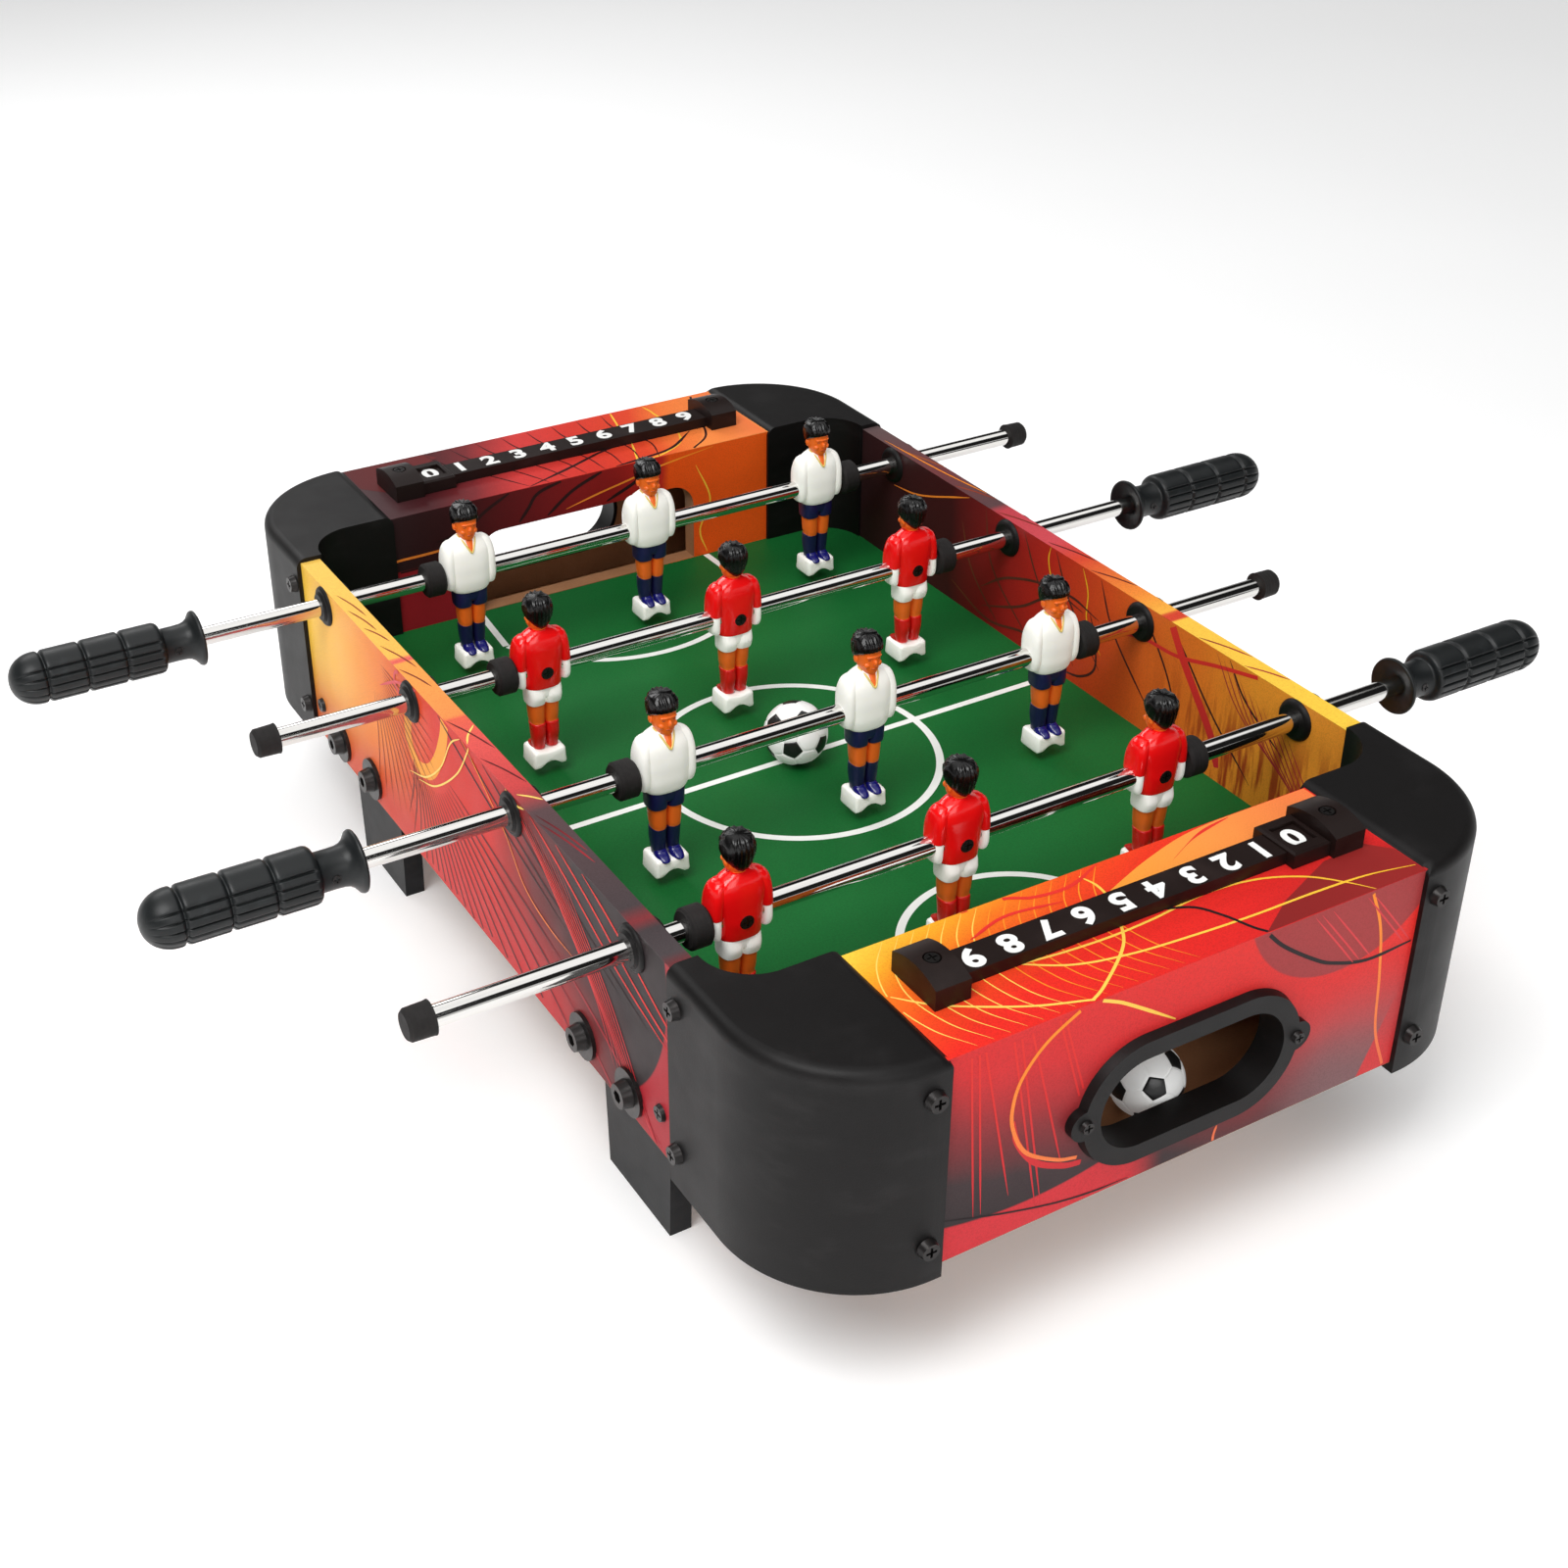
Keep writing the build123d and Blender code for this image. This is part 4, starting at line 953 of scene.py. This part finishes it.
INKS = [
    ink("Ink_yellow", "x", -160, 110, [(-160, rgb(250, 214, 110)), (110, rgb(246, 186, 40))]),
    ink("Ink_dark", "y", -190, 190, [(-190, rgb(34, 28, 30)), (-60, rgb(54, 30, 32)), (60, rgb(96, 48, 34)),
        (190, rgb(150, 104, 50))]),
    ink("Ink_pink", "y", -190, 190, [(-190, rgb(214, 66, 70)), (190, rgb(226, 92, 96))]),
    ink("Ink_red", "z", 50, 141, [(50, rgb(190, 40, 52)), (141, rgb(224, 52, 44))]),
    ink("Ink_orange", "z", 50, 141, [(50, rgb(236, 112, 76)), (141, rgb(246, 142, 40))]),
    ink("Ink_peach", "x", -20, 110, [(-20, rgb(246, 160, 52)), (50, rgb(246, 148, 70)),
        (110, rgb(240, 120, 70))]),
    ink("Ink_shade", "x", -110, 110, [(-110, rgb(84, 30, 32)), (110, rgb(150, 40, 38))]),
    ink("Ink_fan", "y", -190, 190, [(-190, rgb(178, 44, 54)), (-100, rgb(160, 44, 52)),
        (-70, rgb(84, 26, 32)),
        (20, rgb(96, 30, 28)), (90, rgb(150, 62, 34)), (190, rgb(178, 108, 48))]),
    ink("Ink_soot", "z", 50, 141, [(50, rgb(30, 20, 22)), (141, rgb(48, 24, 26))]),
]
INK_YELLOW, INK_DARK, INK_PINK, INK_RED, INK_ORANGE, INK_PEACH, INK_SHADE, INK_FAN, INK_SOOT = range(9)

# playfield marks
chalk = plastic("Field_line", rgb(240, 243, 238), (0.4, 0.5), 0.06, 0.02, 5.0)
marks = Print("field_marks", "field", [chalk])
marks.lines(
    (arc(1, 2, 62.5, 0, 360, 72), 3.4, 0, (1, 1), 0.25),
    ([(-144, 1.6), (-40, 2.2), (40, 2.6), (144, 3.2)], 3.3, 0, (1, 1)),
    (arc(5, -156, 46.5, 182, -2, 36), 3.3, 0, (1, 1), 0.25),
    ([(-41.5, -155), (-45, -170), (-52, -193)], 3.3, 0, (1, 1)),
    ([(51.5, -155), (55, -170), (62, -193)], 3.3, 0, (1, 1)),
    (arc(1, 184, 70.5, 204, 336, 36), 3.3, 0, (1, 1), 0.25),
    ([(-64, 156), (-61, 193)], 3.3, 0, (1, 1)),
    ([(66, 156), (65, 193)], 3.3, 0, (1, 1)),
)
marks.done("field")

# left board: a fan of dark strokes, a U of lighter orange, yellow and pink curves
left = Print("side_print_left", "left_out", INKS)
left_top = Print("side_print_left_top", "left_top", INKS)
left.line([(46, 133), (52, 124), (54, 112), (46, 103), (34, 106), (24, 116), (16, 130), (13, 140)], 7.0,
    INK_PEACH, (1, 1))
for k in range(19):
    # strokes spread from the U, some straight down, most of them towards the near end
    a, reach = math.radians(104 - 4.9 * k), 52 + 11 * k
    bends = ((17 + k, 0.0), (0.3 * reach + 10, 0.03), (0.66 * reach, 0.02), (reach, -0.05))
    left.line([(46 - r * math.cos(a - bend), 121 - r * math.sin(a - bend)) for r, bend in bends], 1.3,
        INK_FAN, (0.15, 0.1), 0.1)
for k in range(7):
    # long strokes that come over the upper edge
    left.line([(22 - 21 * k, 141), (-6 - 21 * k, 131), (-48 - 21 * k, 118 - k), (-92 - 21 * k, 106 - k)], 1.2,
        INK_SOOT if k < 4 else INK_RED, (0.2, 0.1), 0.1)
for k in range(16):
    # finer strokes in the orange part, round the far bush
    turns = [(math.radians(150 + 7.5 * k + t), *arm) for t, *arm in
        ((0, 92, 128, 14, 12), (8, 90, 122, 34, 28), (14, 88, 116, 62, 52))]
    left.line([(u + a * math.cos(t), v + b * math.sin(t)) for t, u, v, a, b in turns], 0.6, INK_FAN,
        (0.1, 0.1), 0.1)
for k in range(9):
    # red rays over the dark part
    left.line([(-48 - 5 * k, 139 - k), (-78 - 6 * k, 120 - 3 * k), (-112 - 5.4 * k, 92 - 4.2 * k),
        (-128 - 5.0 * k, 66 - 2.0 * k)], 0.8, INK_RED, (0.1, 0.1), 0.1)
left.lines(
    ([(-3, 141), (8, 133), (20, 116), (37, 102), (56, 95)], 0.8, INK_YELLOW),
    ([(-10, 141), (-9, 138), (4, 121), (27, 103), (46, 96)], 0.8, INK_YELLOW),
    ([(-3, 141), (-14, 136), (-27, 128), (-41, 119), (-56, 104), (-76, 98), (-97, 97)], 0.8, INK_ORANGE),
    ([(-42, 141), (-52, 138.5), (-60, 140.6)], 0.9, INK_YELLOW),
    ([(38, 141), (46, 139), (60, 135), (70, 130), (82, 123)], 1.3, INK_PINK, (0.3, 0.2)),
    ([(52, 141), (62, 139), (64, 133), (58, 128)], 1.5, INK_PINK, (0.6, 0.2)),
)
left_top.lines(
    ([(-8, -153), (-2, -150), (4, -145)], 0.8, INK_YELLOW),
    ([(-50, -152), (-54, -148), (-58, -145)], 0.9, INK_YELLOW),
)
for a, b in (((12, -153), (-16, -145)), ((-20, -153), (-44, -145)), ((-66, -152), (-96, -146)),
        ((-72, -153), (-104, -147)), ((60, -153), (40, -147)), ((82, -152), (58, -146)),
        ((100, -152), (84, -147)), ((118, -152), (96, -148)), ((134, -151), (110, -147))):
    left_top.line(bowed(a, b), 0.8, INK_FAN, (0.2, 0.2), 0.2)
side_outer = left.done("printed_board")
left_top.done("printed_board")

# right board: dark diagonals on red and orange, seen inside
right = Print("side_print_right", "right_in", INKS)
right_top = Print("side_print_right_top", "right_top", INKS)
for a, b, c in (((84, 126), (74, 104), (50, 84)), ((66, 140), (58, 112), (28, 88)),
        ((36, 140), (22, 118), (-6, 90)), ((12, 140), (0, 120), (-24, 96)),
        ((-20, 140), (-32, 118), (-60, 92)), ((-48, 140), (-70, 112), (-78, 86)),
        ((-70, 138), (-96, 112), (-124, 90)), ((-104, 140), (-116, 126), (-140, 112))):
    right.line([a, b, c], 1.1, INK_DARK, (0.2, 0.2), 0.1)
right.lines(
    ([(-67, 141), (-76, 128), (-86, 116), (-99, 100), (-104, 88)], 4.6, INK_RED, (1, 0.6)),
    ([(-30, 118), (-49, 125), (-73, 127), (-98, 134), (-124, 140.5)], 1.8, INK_RED, (0.3, 0.8)),
    ([(142, 122), (125, 124), (111, 128), (95, 134), (79, 140)], 0.9, INK_ORANGE),
    ([(16, 141), (17, 134), (14, 126), (6, 116), (-8, 108)], 0.8, INK_YELLOW),
    ([(-7, 141), (-12, 130), (-13, 116), (-24, 104)], 0.8, INK_YELLOW),
)
for a, b, c in (((66, 99), (46, 112), (16, 121)), ((65, 89), (35, 102), (5, 122)),
    ((90, 92), (60, 84), (30, 90))):
    right.line([a, b, c, (c[0] - 26, c[1] - 2)], 1.3, INK_DARK, (0.2, 0.2), 0.1)
right.line([(-15, 120), (-19, 111), (-21, 96), (-11, 87), (4, 84)], 1.2, INK_DARK)
for k in range(10):
    right.line([(-96 - 5 * k, 140 - 2 * k), (-112 - 5 * k, 120 - 2 * k), (-140 - 3 * k, 104 - 2 * k)], 0.6,
        INK_FAN, (0.1, 0.1), 0.2)
for a, b in (((92, 145), (70, 153)), ((58, 145), (34, 153)), ((20, 146), (-6, 153)), ((-12, 145), (-34, 153)),
        ((-84, 145), (-108, 153)), ((-112, 145), (-130, 153)), ((140, 146), (112, 153))):
    right_top.line(bowed(a, b), 1.0, INK_FAN, (0.3, 0.3), 0.2)
right_top.line([(154, 146), (110, 149), (77, 153)], 0.8, INK_ORANGE)
side_inner = right.done("printed_board")
right_top.done("printed_board")

# near end: fan and leaf on top, long yellow curves that run over onto the front
near = Print("end_print_near", "near_top", INKS)
near_front = Print("end_print_near_front", "near_front", INKS)
near.shape([(-2, -209), (20, -201), (44, -195), (75, -193), (101, -193), (101, -203), (80, -206),
    (56, -212), (34, -221), (12, -226)], INK_PEACH)
near.shape([(28, -254.8), (46, -244), (74, -233), (94, -232), (101, -240), (101, -254.8)], INK_SHADE, False)
near.shape([(28, -206), (44, -199), (64, -194.5), (50, -196), (36, -202)], INK_RED)
for k in range(15):
    u = -100 + 6.4 * k
    near.line([(u + 14, -194), (u + 4, -206), (u - 1, -222), (u + 2, -240), (u + 10, -254)], 0.5,
        INK_YELLOW if k < 7 else INK_ORANGE, (0.3, 0.1), 0.12)
near.lines(
    ([(-101, -219), (-88, -232), (-65, -246), (-46, -253.5), (-43, -255)], 1.0, INK_YELLOW, (0.4, 1)),
    ([(-80, -213), (-66, -220), (-52, -227), (-24, -230), (0, -229.5), (25, -227), (46, -229.5), (62, -237),
        (72, -247), (78, -255)], 1.0, INK_YELLOW),
    ([(-70, -214), (-55, -226), (-39, -236), (-19, -241), (5, -243.5), (30, -245), (58, -245.5), (81, -247),
        (101, -251)], 1.0, INK_YELLOW),
    ([(-6, -197), (-4, -205), (-6, -216), (-11, -226), (-19, -237), (-37, -250), (-47, -255)], 1.1,
        INK_YELLOW, (0.4, 1)),
    ([(4, -226), (16, -231), (22, -240), (26, -250), (29, -255)], 1.3, INK_DARK, (0.4, 1)),
    ([(-54, -194), (-37, -194.5), (-27, -199), (-12, -200), (4, -194)], 1.6, INK_RED),
    ([(-20, -206), (-42, -203), (-60, -208)], 1.4, INK_RED),
)
near_front.lines(
    ([(-43.5, 141), (-37, 138), (-30, 134), (-8, 119)], 1.3, INK_YELLOW, (1, 0.3)),
    ([(76, 141), (83, 123), (87, 100), (90, 75), (97, 56)], 1.3, INK_ORANGE, (1, 1)),
    ([(-74, 104), (-72, 94), (-64, 82), (-52, 75), (-44, 73)], 2.4, INK_RED, (0.3, 0.8)),
    ([(28, 141), (37, 132), (52, 121), (62, 115.5), (79, 110.5), (101, 111)], 1.5, INK_DARK, (1, 0.5)),
)
for u, v, w in ((-93, -88, 69), (-90, -85, 69), (-77, -62, 61), (-74, -60, 62), (-59, -45, 95),
        (-57, -43, 96), (-88, -74, 72), (-70, -52, 74)):
    near_front.line([(u, 140.8), ((u + v) / 2, (140.8 + w) / 2), (v, w)], 0.8, INK_RED, (0.8, 0.1))
near_front.line([(-48, 141), (-63, 132), (-72, 121), (-75, 110), (-74, 100), (-68, 88), (-55, 79), (-46, 76)],
    1.5, INK_ORANGE, (1, 1))
for u in (50, 53, 58, 74, 77):
    near_front.line([(u, 139), (u + 14, 122), (u + 22, 112)], 0.7, INK_PINK, (0.2, 0.2))
near_front.lines(
    ([(17, 62), (16, 58), (16, 55.4)], 1.2, INK_ORANGE, (0.4, 1)),
    ([(-101, 73.5), (-82, 67), (-65, 62), (-50, 58.5), (-36, 56.6), (-22, 56)], 0.8, INK_DARK),
)
near.done("printed_board")
end_outer = near_front.done("printed_board")

# far end: swirls on top and on the wall over the goal
far = Print("end_print_far", "far_top", INKS)
far_wall = Print("end_print_far_wall", "far_wall", INKS)
far.shape([(101, 254.8), (90, 254.8), (80, 226), (70, 204), (58, 193.7), (101, 193.7)], INK_PEACH, False)
far.lines(
    ([(91, 255), (82, 232), (73, 206), (59, 193.8)], 1.2, INK_SOOT, (1, 1)),
    ([(44, 255), (42, 247), (40, 239), (36, 226)], 1.0, INK_YELLOW),
    ([(62, 254), (63, 247), (63, 241), (64, 230)], 1.0, INK_YELLOW),
    ([(63, 217), (57, 204), (44, 196), (34, 193.8)], 1.2, INK_YELLOW),
    ([(36, 216), (31, 202), (28, 193.8)], 1.0, INK_YELLOW),
    ([(68, 214), (50, 200), (31, 196), (16, 194)], 1.8, INK_SOOT),
    ([(53, 217), (38, 217), (20, 214), (-4, 204), (-30, 194)], 1.8, INK_SOOT),
)
far.shape([(-101, 232), (-90, 220), (-76, 234), (-55, 248), (-60, 254.8), (-101, 254.8)], INK_SHADE, False)
for k in range(8):
    far.line([(-60 + 14 * k, 254), (-54 + 13 * k, 236), (-40 + 12 * k, 212), (-30 + 10 * k, 194)], 0.8,
        INK_SOOT, (0.2, 0.2), 0.12)
far_wall.line([(70, 140), (40, 136), (20, 132), (5, 129), (-12, 125)], 1.0, INK_ORANGE)
for pts in (((-10, 141), (-26, 137), (-32, 130), (-37, 124)), ((10, 141), (-8, 134), (-22, 124)),
        ((34, 141), (28, 132), (10, 124)), ((-40, 141), (-54, 134), (-66, 126), (-80, 124))):
    far_wall.line(list(pts), 1.8, INK_SOOT, (0.3, 0.3), 0.12)
far_wall.lines(
    ([(-101, 118.5), (-98, 119), (-77, 119.5), (-62, 123)], 1.3, INK_ORANGE, (1, 0.3)),
    ([(-99, 112.6), (-80, 112.8), (-60, 113.2)], 0.8, INK_SOOT, (1, 1)),
    ([(60, 132), (68, 112), (62, 96), (66, 83)], 0.9, INK_YELLOW),
)
far.done("printed_board")
end_inner = far_wall.done("printed_board")

# the faces at the other side and end carry the same print, turned
for name, source in (("side_print_right_outer", side_outer), ("side_print_left_inner", side_inner),
        ("end_print_far_front", end_outer), ("end_print_near_wall", end_inner)):
    piece = instance(name, source, (0, 0, 0), math.pi)
    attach(piece, "table")


# ---------------------------------------------------------------- counter digits

digit_mat = plastic("Digit_print", rgb(244, 244, 242), (0.3, 0.4), 0.05, 0.01, 4.0)
DIGIT_PITCH, FIRST_DIGIT = 15.42, 69.4  # millimetres
DIGIT_SIZE, DIGIT_BOLD, DIGIT_THICK, DIGIT_Z = 0.0133, 0.0005, 0.00006, 0.14611  # metres
DIGIT_WIDEN = 1.12


def digits(name, turn):
    """0 to 9 on one score bar. turn is 1 at the far end, read from the near side, and -1 at the near end."""
    low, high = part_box("score_bar_far" if turn > 0 else "score_bar_near")
    middle_y = (low.y + high.y) / 2
    meshes = []
    for value in range(10):
        curve = bpy.data.curves.new(f"digit_{value}", "FONT")
        curve.body = str(value)
        curve.size, curve.offset, curve.extrude = DIGIT_SIZE, DIGIT_BOLD, DIGIT_THICK
        curve.resolution_u = 6
        curve.align_x, curve.align_y = "CENTER", "CENTER"
        text = bpy.data.objects.new(f"digit_{value}", curve)
        bpy.context.scene.collection.objects.link(text)
        x = turn * (-FIRST_DIGIT + DIGIT_PITCH * value) * MM
        facing = Matrix.Rotation(0 if turn > 0 else math.pi, 4, "Z")
        wide = Matrix.Diagonal((DIGIT_WIDEN, 1.0, 1.0, 1.0))
        text.matrix_world = Matrix.Translation((x, middle_y, DIGIT_Z)) @ facing @ wide
        bpy.context.view_layer.update()
        mesh = bpy.data.meshes.new_from_object(text.evaluated_get(bpy.context.evaluated_depsgraph_get()))
        mesh.transform(text.matrix_world)
        meshes.append(mesh)
        bpy.data.objects.remove(text)
    verts, faces = [], []
    for mesh in meshes:
        first = len(verts)
        verts.extend(tuple(c / MM for c in v.co) for v in mesh.vertices)
        faces.extend(tuple(first + k for k in p.vertices) for p in mesh.polygons)
    obj = new_object(name, verts, faces, [digit_mat], smooth=False)
    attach(obj, "table")


digits("digits_near", -1)
digits("digits_far", 1)


# ---------------------------------------------------------------- materials of the CAD nodes

prints = {
    "side_board_left": side_print("Print_side_left", 1),
    "side_board_right": side_print("Print_side_right", -1),
    "end_box_near": end_print("Print_end_near", 1),
    "end_box_far": end_print("Print_end_far", -1),
}
prints["goal_wall_near"] = prints["end_box_near"]
prints["goal_wall_far"] = prints["end_box_far"]
record_slots = {row["node"]: row["material_slot"] for row in frame["record"]["subparts"]}
for node, obj in nodes.items():
    mat = prints.get(node) or MATS.get(record_slots[node])
    if mat is None:
        continue
    obj.data.materials.clear()
    obj.data.materials.append(mat)


# ---------------------------------------------------------------- stage, light and camera

scene = bpy.context.scene
scene.view_settings.view_transform = "Standard"

floor_mesh = bpy.data.meshes.new("floor")
FLOOR_HALF = 6.0  # metres
corners = [(x * FLOOR_HALF, y * FLOOR_HALF, 0) for x, y in ((-1, -1), (1, -1), (1, 1), (-1, 1))]
floor_mesh.from_pydata(corners, [], [(0, 1, 2, 3)])
floor_paint = Paint("Floor", Roughness=0.9, Emission_Color=rgb(255, 255, 255), Emission_Strength=0.12)
floor_paint.colour(floor_paint.mix(floor_paint.noise(400.0), rgb(250, 250, 250), rgb(255, 255, 255)))
floor_mesh.materials.append(floor_paint.done())
floor = bpy.data.objects.new("floor", floor_mesh)
scene.collection.objects.link(floor)

world = bpy.data.worlds.new("Studio")
scene.world = world
world.use_nodes = True
sky = world.node_tree.nodes
background = sky["Background"]
direction = sky.new("ShaderNodeTexCoord")
split = sky.new("ShaderNodeSeparateXYZ")
bands = sky.new("ShaderNodeValToRGB")
world.node_tree.links.new(direction.outputs["Generated"], split.inputs[0])
world.node_tree.links.new(split.outputs[2], bands.inputs[0])
world.node_tree.links.new(bands.outputs[0], background.inputs[0])
# brightness by height of the direction: pale near the horizon, dark above it, bright overhead
BANDS = [(0.0, 0.62), (0.2, 0.62), (0.24, 0.012), (0.745, 0.012), (0.785, 1.15), (1.0, 1.15)]
elements = bands.color_ramp.elements
while len(elements) < len(BANDS):
    elements.new(0.5)
for element, (place, value) in zip(elements, BANDS):
    element.position = place
    element.color = (value, value, value, 1)
background.inputs[1].default_value = 1.0


def softbox(name, location, target, size, power):
    light = bpy.data.lights.new(name, "AREA")
    light.shape = "RECTANGLE"
    light.size, light.size_y = size
    light.energy = power
    obj = bpy.data.objects.new(name, light)
    obj.location = location
    obj.rotation_euler = (Vector(target) - Vector(location)).to_track_quat("-Z", "Y").to_euler()
    scene.collection.objects.link(obj)


softbox("key", (-0.9, -0.5, 1.5), (0, 0, 0.08), (0.9, 0.9), 19)
softbox("fill", (-0.3, -1.6, 0.9), (0, 0, 0.08), (1.0, 0.8), 8)
softbox("rim", (-0.2, 1.4, 1.1), (0, 0, 0.1), (1.1, 0.4), 8)

CAMERA_PLACE, CAMERA_RIGHT = (-0.418835, -0.672373, 0.571952), Vector((0.8628, -0.5055, -0.0009))
LENS, SHIFT = 49.68, (0.025, -0.05)
camera_data = bpy.data.cameras.new("camera")
camera_data.sensor_width = 36.0
camera_data.lens = LENS
camera_data.shift_x, camera_data.shift_y = SHIFT
camera = bpy.data.objects.new("camera", camera_data)
scene.collection.objects.link(camera)
back = BACK.normalized()
right_axis = CAMERA_RIGHT.normalized()
up_axis = back.cross(right_axis).normalized()
turn = Matrix((right_axis, up_axis, back)).transposed()
camera.matrix_world = Matrix.Translation(CAMERA_PLACE) @ turn.to_4x4()
scene.camera = camera
